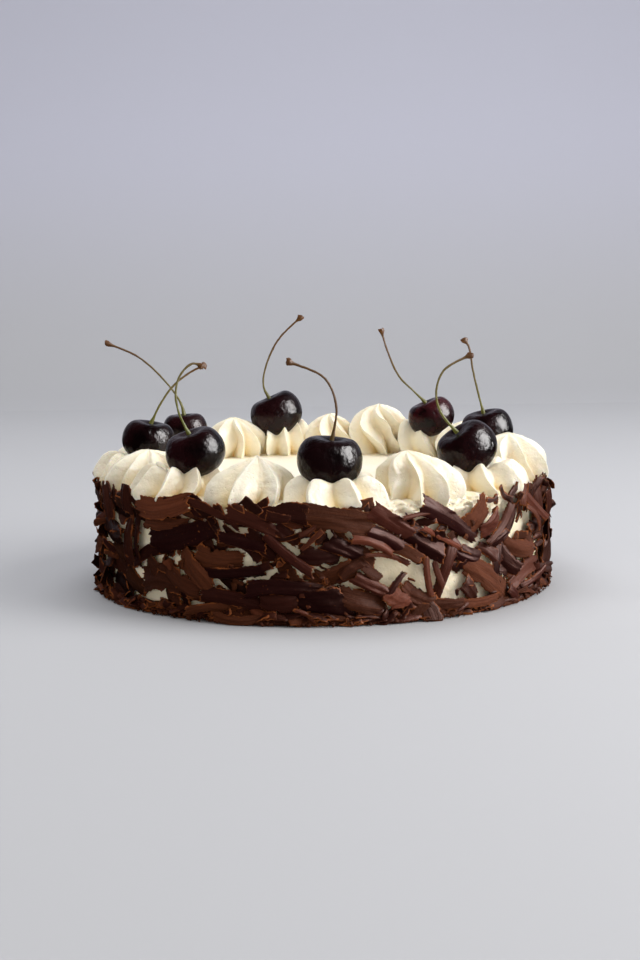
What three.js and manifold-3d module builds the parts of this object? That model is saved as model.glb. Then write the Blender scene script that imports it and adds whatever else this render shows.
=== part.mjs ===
// A black forest cake: a round cake under a smooth coat of whipped cream, its side clad in
// shavings of dark chocolate, with a ring of piped cream rosettes round the edge of its top
// and a stemmed cherry pressed into eight of them.
// Millimetres, +Z up, with the origin at the centre of the flat base.

import * as THREE from "three";
import { mergeVertices } from "three/addons/utils/BufferGeometryUtils.js";
import Module from "manifold-3d";

const wasm = await Module();
wasm.setup();

const { abs, asin, atan2, cos, exp, floor, hypot, max, min, sin, tan, PI } = Math;
const radians = THREE.MathUtils.degToRad;

// ---- Driving dimensions -------------------------------------------------------------------

const CAKE_RADIUS = 103.5; // outside of the cream coat
const CAKE_TOP = 50;
const RIM_ROUND = 6; // radius of the coat's rounded top edge
const FOOT_ROUND = 1.5;
const CAKE_SIDES = 56;

const GAP = 0.35; // left between pieces that touch

const RING_RADIUS = 85; // of the circle that the rosettes' centres lie on
const LOBES = 8; // ridges that the star nozzle leaves, where a rosette's row gives no other number
const GROOVE = 0.24; // depth of the valley between two lobes, as a share of the radius there
const ROSETTE_DROOP = 7; // how far a rosette's edge hangs down the rounded rim

const SHAVINGS_TOP = 52.2; // no shaving stands higher
const ROSETTE_WALL = 103.1; // below that height rosettes stay inside this radius
const SHAVINGS_WALL = 103.7; // and, above the rim's rounding, shavings outside this one

// The rosettes, counterclockwise from +X as seen from above: the angle of each one's centre,
// its radius, how high its peak or crown stands above the cake's top, the angle of one of its
// ridges and how far that swirls from base to peak. A nest is a rosette with a cherry pressed
// into it. The tip of a plain one may lean to the right.
const ROSETTES = [
  { angle: 15, radius: 17, rise: 13, ridge: 10, swirl: 22, nest: true },
  { angle: 32, radius: 16, rise: 19, ridge: 30, swirl: 34 },
  { angle: 51, radius: 16.5, rise: 18, ridge: 16, swirl: 20, lobes: 7, nest: true },
  { angle: 69, radius: 17.5, rise: 25, ridge: 36, swirl: 58, lobes: 9 },
  { angle: 87, radius: 15.5, rise: 20, ridge: 8, swirl: 44 },
  { angle: 104, radius: 16, rise: 17.5, ridge: 32, swirl: 10, lobes: 10, nest: true },
  { angle: 122, radius: 16.5, rise: 20, ridge: 12, swirl: 24, lobes: 9 },
  { angle: 145, radius: 17, rise: 12, ridge: 30, swirl: 28, nest: true },
  { angle: 164, radius: 17.5, rise: 18, ridge: 5, swirl: 30 },
  { angle: 183, radius: 20, rise: 12.5, ridge: 20, swirl: 0, lobes: 9, nest: true },
  { angle: 203, radius: 18.5, rise: 16, ridge: 26, swirl: -5, lobes: 10 },
  { angle: 223.5, radius: 20, rise: 13, ridge: 10, swirl: -10, lobes: 9, nest: true },
  { angle: 249.5, radius: 19, rise: 18, ridge: 5.5, swirl: 0, lobes: 6, lean: 2.5 },
  { angle: 273.5, radius: 21.5, rise: 10.5, ridge: 38.3, swirl: 6, lobes: 7, nest: true },
  { angle: 299.5, radius: 18.6, rise: 18.5, ridge: 25, swirl: 12, lobes: 9, lean: -5.5 },
  { angle: 324, radius: 20.5, rise: 11.5, ridge: 12, swirl: 12, nest: true },
  { angle: 349, radius: 19.5, rise: 19, ridge: 16, swirl: 22, lobes: 10, lean: 4 },
];

// Profiles of a rosette from its base up: radius and height as shares of its own.
const PEAK_PROFILE = [[0.93, 0], [1, 0.22], [0.96, 0.48], [0.74, 0.72], [0.34, 0.9], [0, 1]];
const NEST_PROFILE = [[0.95, 0], [1.02, 0.27], [0.97, 0.6], [0.8, 0.92], [0.6, 1], [0, 0.7]];
const NEST_DIP = 0.2; // how far the valleys of a nest lie below its tips

// Each cherry: its place by angle, distance from the axis and height of its middle, its width,
// and how far its stalk end leans, in degrees, to the right and to the front. The stalk is a
// curve through offsets from the stalk end: right, back and up.
const CHERRIES = [
  {
    angle: 272.3,
    reach: 84,
    height: 66,
    width: 27.8,
    lean: [6, 5],
    stalk: [[1.5, -1, 7.2], [2.1, -2, 14.9], [-2.2, -2, 26.2], [-12.5, 0, 31.2], [-18.5, 1, 33.2]],
  },
  {
    angle: 227.9,
    reach: 82,
    height: 67.8,
    width: 26.2,
    lean: [-17, 10],
    stalk: [[-4.1, -1, 9.2], [-5.4, -1, 18.5], [-3.2, 1, 26], [2.2, 3, 30.7], [6.6, 4, 28.8]],
  },
  {
    angle: 184,
    reach: 81.6,
    height: 67.2,
    width: 24.6,
    lean: [10, 4],
    stalk: [[3.3, 0, 6.7], [8.6, 1, 15], [13.8, 3, 20.2], [20, 5, 24.3], [26.2, 5, 26.9]],
  },
  {
    angle: 146.5,
    reach: 82,
    height: 66.5,
    width: 22.4,
    lean: [-3, 0],
    stalk: [[-1.2, 1, 5.2], [-6.7, 3, 13.9], [-21.9, 5, 29.1], [-39.4, 6, 36.7]],
  },
  {
    angle: 106.5,
    reach: 82,
    height: 70.8,
    width: 27.2,
    lean: [-24, 2],
    stalk: [[-3.1, 1, 6.4], [-2.1, 2, 15.4], [4.7, 3, 30.4], [17.8, 4, 42.7]],
  },
  {
    angle: 46.5,
    reach: 82,
    height: 70,
    width: 23.6,
    lean: [-22, 2],
    stalk: [[-7, 0, 6.9], [-13.6, 2, 13.5], [-19.2, 4, 26.3], [-22.6, 4, 38]],
  },
  {
    angle: 14,
    reach: 83,
    height: 67.2,
    width: 25.4,
    lean: [-12, 6],
    stalk: [[-2.9, -1, 10.7], [-5.6, -2, 22.3], [-7, -1, 32.2], [-9.7, 1, 36.2]],
  },
  {
    angle: 320.7,
    reach: 83,
    height: 66.8,
    width: 27,
    lean: [-32, 14],
    stalk: [[-6.9, -1, 8.2], [-9.5, -2, 17.2], [-6.4, -1, 27.2], [2.1, 1, 32.2], [6.9, 2, 33.9]],
  },
];
const CHERRY_SIDES = 12;
const CHERRY_BANDS = 8; // from the stalk end to the far end
const CHERRY_DEPTH = 0.93; // front to back, as a share of the width
const CHERRY_HEIGHT = 0.82;
const DIMPLE_DEPTH = 0.11;
const SHOULDER_RISE = 0.06;

const STALK_SIDES = 5;
const STALK_RADIUS = 0.62;
const STALK_FLARE = 0.45; // added radius at the root
const STALK_KNOB = 1; // added radius of the woody knob at the free end

const SHAVING_THICK = 1.3;
const SHAVING_ROWS = 4;
const SHAVING_COLUMNS = 12;
const FOOT_SHAVINGS = 16;

// The largest shavings of the front, between two angles round the cake, are laid one by one;
// the others follow a rule. Each one's angle and height, its tilt from the level, its length
// and width, how far it stands out from the coat, its bow and, if so, that it is rolled.
const FRONT = [210, 341];
const FRONT_SHAVINGS = [
  { angle: 229.8, height: 46.5, tilt: 6, length: 32, width: 9.3, out: 1.6, bow: 2 },
  { angle: 235.7, height: 35.4, tilt: 15, length: 34, width: 10.5, out: 1, bow: 2 },
  { angle: 216.3, height: 29.1, tilt: 84, length: 20, width: 8, out: 1.2, bow: 1.4, rolled: true },
  { angle: 228.5, height: 14.7, tilt: 0, length: 22.6, width: 9.3, out: 0.4, bow: 1.2 },
  { angle: 239.5, height: 20.8, tilt: -38, length: 20, width: 9.6, out: 1.8, bow: 1.4 },
  { angle: 245.4, height: 26.8, tilt: -4, length: 19.9, width: 9, out: 1.2, bow: 1.4 },
  { angle: 249.2, height: 10.3, tilt: -9, length: 26.7, width: 6.2, out: 1.6, bow: 1.6 },
  { angle: 254.1, height: 42.5, tilt: -22, length: 21.4, width: 6.6, out: 1.6, bow: 1.6 },
  { angle: 262.2, height: 29.8, tilt: -37, length: 23.8, width: 4.9, out: 2, bow: 2, rolled: true },
  { angle: 274, height: 42.9, tilt: -10, length: 27.1, width: 10.9, out: 1.6, bow: 1.6 },
  { angle: 285.6, height: 41.6, tilt: -32, length: 20.8, width: 7, out: 2, bow: 1.8, rolled: true },
  { angle: 285, height: 35, tilt: -29, length: 19.2, width: 6.1, out: 2.2, bow: 1.8, rolled: true },
  { angle: 274.9, height: 32.1, tilt: -24, length: 15.3, width: 6.9, out: 1.2, bow: 1 },
  { angle: 261.2, height: 15.7, tilt: -1, length: 29.4, width: 6.9, out: 1.6, bow: 1.8 },
  { angle: 269.6, height: 9.7, tilt: 2, length: 19.8, width: 11.3, out: 1.4, bow: 1.4 },
  { angle: 278.8, height: 9.8, tilt: -15, length: 18.2, width: 8.9, out: 1.6, bow: 1.2 },
  { angle: 300.2, height: 40.2, tilt: -30, length: 31.7, width: 7.3, out: 1.8, bow: 2 },
  { angle: 293.1, height: 33.9, tilt: -35, length: 20.3, width: 10.1, out: 1.2, bow: 1.6 },
  { angle: 307.5, height: 40.9, tilt: 42, length: 14, width: 9, out: 2.2, bow: 0.8 },
  { angle: 316, height: 36, tilt: 40, length: 22, width: 4.4, out: 2.8, bow: 1.4 },
  { angle: 311.2, height: 14.4, tilt: -32, length: 28, width: 9.9, out: 1.8, bow: 1.8 },
  { angle: 298.6, height: 19.1, tilt: 71, length: 23.5, width: 5.1, out: 1.8, bow: 1.6 },
  { angle: 304.4, height: 26.6, tilt: -28, length: 17.4, width: 7.3, out: 1.4, bow: 1.2 },
  { angle: 324.3, height: 24.3, tilt: -12, length: 20, width: 7.9, out: 2, bow: 1.4 },
  { angle: 327, height: 13, tilt: 14, length: 24, width: 6.9, out: 1.8, bow: 1.6 },
  { angle: 335.2, height: 40.3, tilt: -70, length: 20, width: 7.6, out: 1.6, bow: 1.4, rolled: true },
];

// ---- Geometry and solids ------------------------------------------------------------------

const between = (low, high, share) => low + (high - low) * share;

// A repeatable draw from 0 to 1 for item k, with one salt for each use.
function draw(k, salt) {
  const scattered = sin(k * 12.9898 + salt * 78.233) * 43758.5453;
  return scattered - floor(scattered);
}

// A lathed geometry about +Z from a profile of [radius, height] pairs, counterclockwise from
// the low end of the axis to its high end.
function turned(profile, sides) {
  const outline = profile.map(([radius, height]) => new THREE.Vector2(radius, height));
  return new THREE.LatheGeometry(outline, sides).rotateX(PI / 2);
}

// Moves every vertex of a geometry by a function that changes its point.
function warp(geometry, move) {
  const places = geometry.attributes.position;
  const point = new THREE.Vector3();
  for (let i = 0; i < places.count; i++) {
    move(point.fromBufferAttribute(places, i));
    places.setXYZ(i, ...point);
  }
  return geometry;
}

// Seen from above: the point at a distance from the axis and an angle in degrees.
function polar(reach, degrees, height) {
  return new THREE.Vector3(reach * cos(radians(degrees)), reach * sin(radians(degrees)), height);
}

// The solid of a closed geometry, once its shared vertices are merged and the triangles that
// fall together at a pole are left out.
function solidOf(geometry) {
  const bare = geometry.clone();
  bare.deleteAttribute("normal");
  bare.deleteAttribute("uv");
  const merged = mergeVertices(bare, 1e-3);
  const corners = merged.index.array;
  const kept = [];
  for (let i = 0; i < corners.length; i += 3) {
    const [a, b, c] = corners.subarray(i, i + 3);
    if (a !== b && b !== c && c !== a) kept.push(a, b, c);
  }
  return new wasm.Manifold(
    new wasm.Mesh({
      numProp: 3,
      vertProperties: merged.attributes.position.array,
      triVerts: new Uint32Array(kept),
    }),
  );
}

// The geometry of a solid's largest body, without sealed hollows and the scraps that cuts leave.
function geometryOf(solid) {
  const bodies = solid.decompose().sort((a, b) => b.volume() - a.volume());
  const mesh = bodies[0].getMesh();
  return new THREE.BufferGeometry()
    .setAttribute("position", new THREE.BufferAttribute(mesh.vertProperties, 3))
    .setIndex(new THREE.BufferAttribute(mesh.triVerts, 1));
}

// ---- The cream-coated cake ----------------------------------------------------------------

// The coat's outside, or one that lies `grow` further out.
function coatGeometry(grow = 0) {
  const radius = CAKE_RADIUS + grow;
  const rim = [0, 0.35, 0.7, 1].map((share) => [
    CAKE_RADIUS - RIM_ROUND + (RIM_ROUND + grow) * cos((share * PI) / 2),
    CAKE_TOP - RIM_ROUND + (RIM_ROUND + grow) * sin((share * PI) / 2),
  ]);
  const foot = [[0, 0], [radius - FOOT_ROUND, 0], [radius, FOOT_ROUND]];
  return turned([...foot, ...rim, [0, CAKE_TOP + grow]], CAKE_SIDES);
}

function drum(radius, low, high) {
  return solidOf(turned([[0, low], [radius, low], [radius, high], [0, high]], CAKE_SIDES));
}

// ---- Chocolate shavings -------------------------------------------------------------------

// A shaving lies along X with its breadth along Y and its outer face up: a band bent to an arc
// along its length or, when rolled, across its breadth, then skewed and narrowed.
function shavingGeometry({ length, width, bow, rolled, skew, taper }) {
  const chord = rolled ? width : length;
  const depth = rolled ? length : width;
  const radius = (chord * chord) / (8 * bow) + bow / 2;
  const half = asin(min(1, chord / 2 / radius));
  const band = new THREE.Shape()
    .absarc(0, -radius, radius + SHAVING_THICK / 2, PI / 2 + half, PI / 2 - half, true)
    .absarc(0, -radius, radius - SHAVING_THICK / 2, PI / 2 - half, PI / 2 + half, false);
  const settings = { depth, steps: 1, bevelEnabled: false, curveSegments: 2 };
  const shaving = new THREE.ExtrudeGeometry(band, settings).translate(0, bow / 2, -depth / 2);
  shaving.rotateX(PI / 2);
  if (rolled) shaving.rotateZ(PI / 2);
  return warp(shaving, (p) => {
    const [along, across] = [p.x / length, p.y / width];
    p.x += skew * p.y;
    p.y *= 1 + taper * along;
    p.z -= abs(skew) * along * across;
  });
}

// Puts a shaving on the cake's side: its length tilted from the level, its lower edge lifted
// off the wall, or pressed in, and its left end kicked out.
function onWall(shaving, { angle, height, out, tilt, lift, kick }) {
  shaving
    .rotateY(kick)
    .rotateX(-lift)
    .rotateZ(tilt)
    .rotateX(PI / 2)
    .rotateZ(angle + PI / 2);
  const spot = polar(CAKE_RADIUS + out, THREE.MathUtils.radToDeg(angle), height);
  return shaving.translate(...spot);
}

// How far shavings stray from the level, in degrees, by the angle round the cake: nearly level
// on the left of the front and crossed on its right.
function disorder(degrees) {
  const toRight = (1 + cos(radians(degrees - 325))) / 2;
  return between(16, 68, toRight * toRight);
}

function frontShaving({ angle, height, tilt, out, rolled = false, ...sizes }) {
  const shape = { ...sizes, rolled, skew: 0, taper: 0 };
  const place = { angle: radians(angle), height, out, tilt: radians(tilt), lift: 0, kick: 0 };
  return onWall(shavingGeometry(shape), place);
}

// The angle of the k-th of the other shavings.
function wallAngle(k) {
  const row = k % SHAVING_ROWS;
  const column = floor(k / SHAVING_ROWS) + (row % 2) / 2 + between(-0.3, 0.3, draw(k, 1));
  return (column * 360) / SHAVING_COLUMNS;
}

function wallShaving(k) {
  const row = k % SHAVING_ROWS;
  const degrees = wallAngle(k);
  const stray = disorder(degrees);
  const shape = {
    rolled: draw(k, 2) < 0.45,
    length: between(21, 34, draw(k, 3)),
    width: between(8.5, 13, draw(k, 4)),
    bow: between(1, 3, draw(k, 5)),
    skew: between(-0.3, 0.3, draw(k, 6)),
    taper: between(-0.3, 0.3, draw(k, 7)),
  };
  const place = {
    angle: radians(degrees),
    height: between(5, 46, (row + between(0.2, 0.8, draw(k, 8))) / SHAVING_ROWS),
    out: between(0, 1.8, draw(k, 9)),
    tilt: radians(between(-stray, stray, draw(k, 10)) - 10),
    lift: radians(between(-16, 20, draw(k, 11))),
    kick: radians(between(-8, 8, draw(k, 12))),
  };
  return onWall(shavingGeometry(shape), place);
}

// A smaller broken piece that slid down and leans on the foot of the cake.
function footShaving(i) {
  const k = SHAVING_ROWS * SHAVING_COLUMNS + i;
  const degrees = ((i + between(-0.3, 0.3, draw(k, 1))) * 360) / FOOT_SHAVINGS;
  const shape = {
    rolled: false,
    length: between(13, 22, draw(k, 2)),
    width: between(5, 7.5, draw(k, 3)),
    bow: between(0.6, 1.6, draw(k, 4)),
    skew: between(-0.4, 0.4, draw(k, 5)),
    taper: between(-0.3, 0.3, draw(k, 6)),
  };
  const place = {
    angle: radians(degrees),
    height: between(1.6, 3, draw(k, 7)),
    out: between(0.8, 1.8, draw(k, 8)),
    tilt: radians(between(-12, 12, draw(k, 9))),
    lift: radians(between(30, 55, draw(k, 10))),
    kick: radians(between(-6, 6, draw(k, 11))),
  };
  return onWall(shavingGeometry(shape), place);
}

// The cake with its shavings fused on: none reaches below the base or among the rosettes.
function cakeSolid() {
  const wall = Array.from({ length: SHAVING_ROWS * SHAVING_COLUMNS }, (_, k) => k)
    .filter((k) => wallAngle(k) < FRONT[0] || wallAngle(k) > FRONT[1])
    .map(wallShaving);
  const front = FRONT_SHAVINGS.map(frontShaving);
  const foot = Array.from({ length: FOOT_SHAVINGS }, (_, i) => footShaving(i));
  const rosetteRoom = drum(SHAVINGS_WALL, CAKE_TOP - RIM_ROUND, 2 * CAKE_TOP);
  const shavings = wasm.Manifold.union([...wall, ...front, ...foot].map(solidOf))
    .trimByPlane([0, 0, 1], 0)
    .trimByPlane([0, 0, -1], -SHAVINGS_TOP)
    .subtract(rosetteRoom);
  return solidOf(coatGeometry()).add(shavings);
}

// ---- Cherries and stalks ------------------------------------------------------------------

// A cherry upright about the origin: an ellipsoid with a dimple at its stalk end and two low
// shoulders beside it.
function cherryGeometry(width) {
  const profile = Array.from({ length: CHERRY_BANDS + 1 }, (_, band) => {
    const turn = (band / CHERRY_BANDS) * PI;
    return [(width / 2) * sin(turn), (-CHERRY_HEIGHT * width * cos(turn)) / 2];
  });
  profile[0][0] = 0;
  profile[CHERRY_BANDS][0] = 0;
  return warp(turned(profile, CHERRY_SIDES), (p) => {
    const reach = (2 * hypot(p.x, p.y)) / width;
    const top = p.z > 0 ? 1 : 0;
    const dimple = DIMPLE_DEPTH * exp(-((reach / 0.4) ** 2));
    const shoulder = SHOULDER_RISE * ((2 * p.x) / width) ** 2 * exp(-(((reach - 0.7) / 0.3) ** 2));
    p.z += top * width * (shoulder - dimple);
    p.y *= CHERRY_DEPTH;
  });
}

// The way a cherry's stalk end points, and the turn that brings it there.
function cherryAxis({ lean }) {
  const [right, front] = lean.map(radians);
  return new THREE.Vector3(tan(right), -tan(front), 1).normalize();
}

function cherryMiddle({ angle, reach, height }) {
  return polar(reach, angle, height);
}

// A cherry in its place, or one that reaches `grow` further on every side.
function placedCherry(cherry, grow = 0) {
  const upright = new THREE.Vector3(0, 0, 1);
  const turn = new THREE.Quaternion().setFromUnitVectors(upright, cherryAxis(cherry));
  const scale = 1 + (2 * grow) / (cherry.width * CHERRY_HEIGHT);
  return cherryGeometry(cherry.width)
    .scale(scale, scale, scale)
    .applyQuaternion(turn)
    .translate(...cherryMiddle(cherry));
}

// A stalk stands in the dimple, thins at once, and ends in a woody knob: a turned rod, its
// heights shares of its length, bent along the curve.
function stalkGeometry(cherry) {
  const dimple = cherry.width * (CHERRY_HEIGHT / 2 - DIMPLE_DEPTH);
  const root = cherryMiddle(cherry).addScaledVector(cherryAxis(cherry), dimple + 2 * GAP);
  const bends = cherry.stalk.map((offset) => new THREE.Vector3(...offset).add(root));
  const line = new THREE.CatmullRomCurve3([root, ...bends], false, "centripetal");
  const shares = [0, 0.06, 0.2, 0.36, 0.5, 0.64, 0.78, 0.9, 0.94, 0.97, 1];
  const rod = shares.map((share) => {
    const flare = STALK_FLARE * exp(-((share / 0.08) ** 2));
    const knob = STALK_KNOB * exp(-(((share - 0.975) / 0.035) ** 2));
    return [STALK_RADIUS + flare + knob, share];
  });
  const back = new THREE.Vector3(0, 1, 0);
  return warp(turned([[0, 0], ...rod, [0, 1]], STALK_SIDES), (p) => {
    const { x, y } = p;
    const share = THREE.MathUtils.clamp(p.z, 0, 1);
    const along = line.getTangentAt(share);
    const right = new THREE.Vector3().crossVectors(back, along).normalize();
    const away = new THREE.Vector3().crossVectors(along, right);
    p.copy(line.getPointAt(share)).addScaledVector(right, x).addScaledVector(away, y);
  });
}

// ---- Rosettes -----------------------------------------------------------------------------

// The angle where rosette i meets the next one counterclockwise, nearer the smaller of them.
function meetingAngle(i) {
  const here = ROSETTES[i];
  const next = ROSETTES[(i + 1) % ROSETTES.length];
  const apart = (next.angle - here.angle + 360) % 360;
  return here.angle + (apart * here.radius) / (here.radius + next.radius);
}

// A star-shaped mound whose lobes swirl as they rise, turned as one with a point at each ridge
// and each valley. Its foot hangs below the cake's top, to be cut to the rounded rim.
function rosetteGeometry(rosette) {
  const { angle, radius, rise, ridge, swirl, nest, lobes = LOBES, lean = 0 } = rosette;
  const sides = (nest ? NEST_PROFILE : PEAK_PROFILE).map(([r, z]) => [r * radius, z * rise]);
  const foot = [[0, -ROSETTE_DROOP], [sides[0][0], -ROSETTE_DROOP]];
  const mound = warp(turned([...foot, ...sides], 2 * lobes), (p) => {
    const turn = atan2(p.y, p.x);
    const valley = (1 - cos(lobes * turn)) / 2;
    const height = max(0, p.z / rise);
    const reach = hypot(p.x, p.y) * (1 - GROOVE * valley);
    const swirled = turn + radians(ridge - swirl * height);
    const dip = nest ? NEST_DIP * valley * height * rise : 0;
    p.set(reach * cos(swirled) + lean * height ** 2, reach * sin(swirled), p.z - dip);
  });
  return mound.translate(...polar(RING_RADIUS, angle, CAKE_TOP));
}

// Keeps what lies counterclockwise (side 1) or clockwise (side -1) of an angle, less half a gap.
function cutAtAngle(solid, degrees, side) {
  const turn = radians(degrees);
  return solid.trimByPlane([-side * sin(turn), side * cos(turn), 0], GAP / 2);
}

// What the rosettes are fitted to, each a gap larger than it is: the coat, the room of the
// shavings below their tops, and the cherries.
function rosetteCutters() {
  const low = CAKE_TOP - 2 * ROSETTE_DROOP;
  const inside = drum(ROSETTE_WALL, low - GAP, SHAVINGS_TOP + 2 * GAP);
  const shavings = drum(2 * CAKE_RADIUS, low, SHAVINGS_TOP + GAP).subtract(inside);
  const cherries = CHERRIES.map((cherry) => solidOf(placedCherry(cherry, GAP)));
  return [solidOf(coatGeometry(GAP)), shavings, ...cherries];
}

function rosetteSolid(i, cutters) {
  const whole = solidOf(rosetteGeometry(ROSETTES[i]));
  const before = (i + ROSETTES.length - 1) % ROSETTES.length;
  const sector = cutAtAngle(cutAtAngle(whole, meetingAngle(before), 1), meetingAngle(i), -1);
  return cutters.reduce((solid, cutter) => solid.subtract(cutter), sector);
}

// ---- The object ---------------------------------------------------------------------------

function skinOf(color, roughness) {
  return new THREE.MeshStandardMaterial({ color, roughness, metalness: 0 });
}
const chocolate = skinOf(0x3a211a, 0.55);
const cream = skinOf(0xf6efdc, 0.6);
const cherrySkin = skinOf(0x1c090d, 0.22);
const stalkSkin = skinOf(0x6d5a26, 0.6);

const cake = new THREE.Group();

function addPiece(name, geometry, material) {
  const piece = new THREE.Mesh(geometry, material);
  piece.name = name;
  cake.add(piece);
}

addPiece("cake", geometryOf(cakeSolid()), chocolate);

const cutters = rosetteCutters();
ROSETTES.forEach((_, i) => {
  const name = `rosette_${String(i + 1).padStart(2, "0")}`;
  addPiece(name, geometryOf(rosetteSolid(i, cutters)), cream);
});

CHERRIES.forEach((cherry, i) => {
  addPiece(`cherry_${i + 1}`, geometryOf(solidOf(placedCherry(cherry))), cherrySkin);
  addPiece(`stalk_${i + 1}`, geometryOf(solidOf(stalkGeometry(cherry))), stalkSkin);
});

export default cake;
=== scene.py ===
# %% [markdown]
# # Black forest cake
#
# A round cake under smooth whipped cream. Its side is clad in dark chocolate shavings, and a
# ring of piped rosettes stands on its top, with a stalked cherry pressed into eight of them.
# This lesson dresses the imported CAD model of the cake, piece by piece. The frame gives the
# cake's place and size: metres, +Z up, and the origin at the centre of the flat base.

# %% Load the frame
import random
from math import asin, cos, degrees, exp, floor, hypot, inf, pi, radians, sin, sqrt, tan

import bpy
import numpy as np
from mathutils import Matrix, Vector, noise


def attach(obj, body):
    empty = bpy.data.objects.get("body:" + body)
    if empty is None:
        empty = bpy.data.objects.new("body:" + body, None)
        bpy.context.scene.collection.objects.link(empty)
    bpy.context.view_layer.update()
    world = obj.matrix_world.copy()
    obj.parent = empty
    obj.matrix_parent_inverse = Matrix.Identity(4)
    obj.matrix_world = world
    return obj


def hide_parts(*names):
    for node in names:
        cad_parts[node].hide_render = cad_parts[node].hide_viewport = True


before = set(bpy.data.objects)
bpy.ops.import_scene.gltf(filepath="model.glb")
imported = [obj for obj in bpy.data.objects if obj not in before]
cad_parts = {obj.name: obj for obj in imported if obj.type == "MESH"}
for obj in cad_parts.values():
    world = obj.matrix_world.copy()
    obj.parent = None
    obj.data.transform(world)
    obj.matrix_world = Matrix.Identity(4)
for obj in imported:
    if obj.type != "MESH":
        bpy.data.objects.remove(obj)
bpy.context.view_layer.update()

MM = 0.001  # tables below are in millimetres, as cooks and bakers measure
print("frame:", len(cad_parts), "nodes")

# %% [markdown]
# ## One small class for every node tree
#
# Materials and Geometry Nodes are both trees of nodes. Wiring them by hand takes four lines a
# node, so `Wire` wraps one output. Sums are then written as sums: `1 - mask * 0.5` adds its
# Math nodes by itself, and `node` adds any other kind.

# %% Wire: a socket with arithmetic
class Wire:
    """One output in a node tree."""

    def __init__(self, tree, socket=None):
        self.tree = tree
        self.socket = socket

    def node(self, kind, settings=None, sockets=None, out=0):
        """Adds a node: first its settings, then its sockets' values or links."""
        made = self.tree.nodes.new(kind)
        for name, value in (settings or {}).items():
            if name == "points":
                set_points(made.mapping, value)
            else:
                setattr(made, name, value)
        for name, value in (sockets or {}).items():
            if isinstance(value, Wire):
                self.tree.links.new(value.socket, made.inputs[name])
            else:
                made.inputs[name].default_value = value
        return Wire(self.tree, made.outputs[out] if made.outputs else None)

    def beside(self, out):
        """Another output of the same node."""
        return Wire(self.tree, self.socket.node.outputs[out])

    def math(self, operation, *others):
        sockets = dict(enumerate((self, *others)))
        return self.node("ShaderNodeMath", {"operation": operation}, sockets)

    def reflected(self, operation, other):
        return self.node("ShaderNodeMath", {"operation": operation}, {0: other, 1: self})

    def __add__(self, other):
        return self.math("ADD", other)

    def __sub__(self, other):
        return self.math("SUBTRACT", other)

    def __mul__(self, other):
        return self.math("MULTIPLY", other)

    def __truediv__(self, other):
        return self.math("DIVIDE", other)

    def __pow__(self, other):
        return self.math("POWER", other)

    def __radd__(self, other):
        return self.reflected("ADD", other)

    def __rsub__(self, other):
        return self.reflected("SUBTRACT", other)

    def __rmul__(self, other):
        return self.reflected("MULTIPLY", other)

    def __rtruediv__(self, other):
        return self.reflected("DIVIDE", other)

    def __rpow__(self, other):
        return self.reflected("POWER", other)

    def __neg__(self):
        return self * -1.0

    def __abs__(self):
        return self.math("ABSOLUTE")

    def vector(self, operation, *others, out=0):
        sockets = dict(enumerate((self, *others)))
        return self.node("ShaderNodeVectorMath", {"operation": operation}, sockets, out)

    def times(self, amount):
        sockets = {0: self, "Scale": amount}
        return self.node("ShaderNodeVectorMath", {"operation": "SCALE"}, sockets)

    def dot(self, other):
        return self.vector("DOT_PRODUCT", other, out="Value")

    def split(self):
        x = self.node("ShaderNodeSeparateXYZ", {}, {0: self})
        return x, x.beside(1), x.beside(2)

    def join(self, x, y, z):
        return self.node("ShaderNodeCombineXYZ", {}, {0: x, 1: y, 2: z})

    def noise(self, scale, detail=2.0, roughness=0.5, out=0):
        sockets = {"Vector": self, "Scale": scale, "Detail": detail, "Roughness": roughness}
        return self.node("ShaderNodeTexNoise", {}, sockets, out)

    def fade(self, low, high, start=0.0, end=1.0):
        """Goes smoothly from start to end as the value goes from low to high."""
        settings = {"interpolation_type": "SMOOTHSTEP"}
        sockets = {0: self, 1: low, 2: high, 3: start, 4: end}
        return self.node("ShaderNodeMapRange", settings, sockets)

    def bell(self, middle, width):
        """1 at the middle, and less the further the value is from it."""
        return (-(((self - middle) / width) ** 2.0)).math("EXPONENT")

    def jolt(self, scale, detail, amount):
        """A small offset in any direction, from noise at this place."""
        offset = self.noise(scale, detail, 0.5, 1).vector("SUBTRACT", (0.5, 0.5, 0.5))
        return offset.times(amount)

    def tint(self, first, second):
        """From the first colour to the second as this value goes from 0 to 1."""
        settings = {"data_type": "RGBA", "clamp_factor": True}
        return self.node("ShaderNodeMix", settings, {0: self, 6: first, 7: second}, 2)


def set_points(mapping, points):
    curve = mapping.curves[0]
    while len(curve.points) < len(points):
        curve.points.new(0.5, 0.5)
    for point, (x, y) in zip(curve.points, points):
        point.location = (x, y)
    mapping.update()


# %% [markdown]
# ## Finishes
#
# Four things are seen on this cake: whipped cream, dark chocolate, cherry skin and stalk. Each
# gets one material. Patterns read Object coordinates, so that they are real sizes, or
# attributes that the modelling leaves on the mesh, such as how deep in a groove a point lies.

# %% Start a material
def new_material(name):
    """A material, the start of its tree, and the place of each point in the object."""
    material = bpy.data.materials.new(name)
    material.use_nodes = True
    material.node_tree.nodes.clear()
    start = Wire(material.node_tree)
    return material, start, start.node("ShaderNodeTexCoord", {}, {}, "Object")


def finish_material(material, sockets):
    """Ends a material in a Principled shader with these values and links."""
    start = Wire(material.node_tree)
    shader = start.node("ShaderNodeBsdfPrincipled", {}, sockets)
    start.node("ShaderNodeOutputMaterial", {}, {"Surface": shader})
    print("material:", material.name, len(material.node_tree.nodes), "nodes")


def mesh_attribute(start, name, out="Vector"):
    return start.node("ShaderNodeAttribute", {"attribute_name": name}, {}, out)


def bump(height, distance, strength):
    sockets = {"Height": height, "Distance": distance, "Strength": strength}
    return height.node("ShaderNodeBump", {}, sockets)


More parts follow.
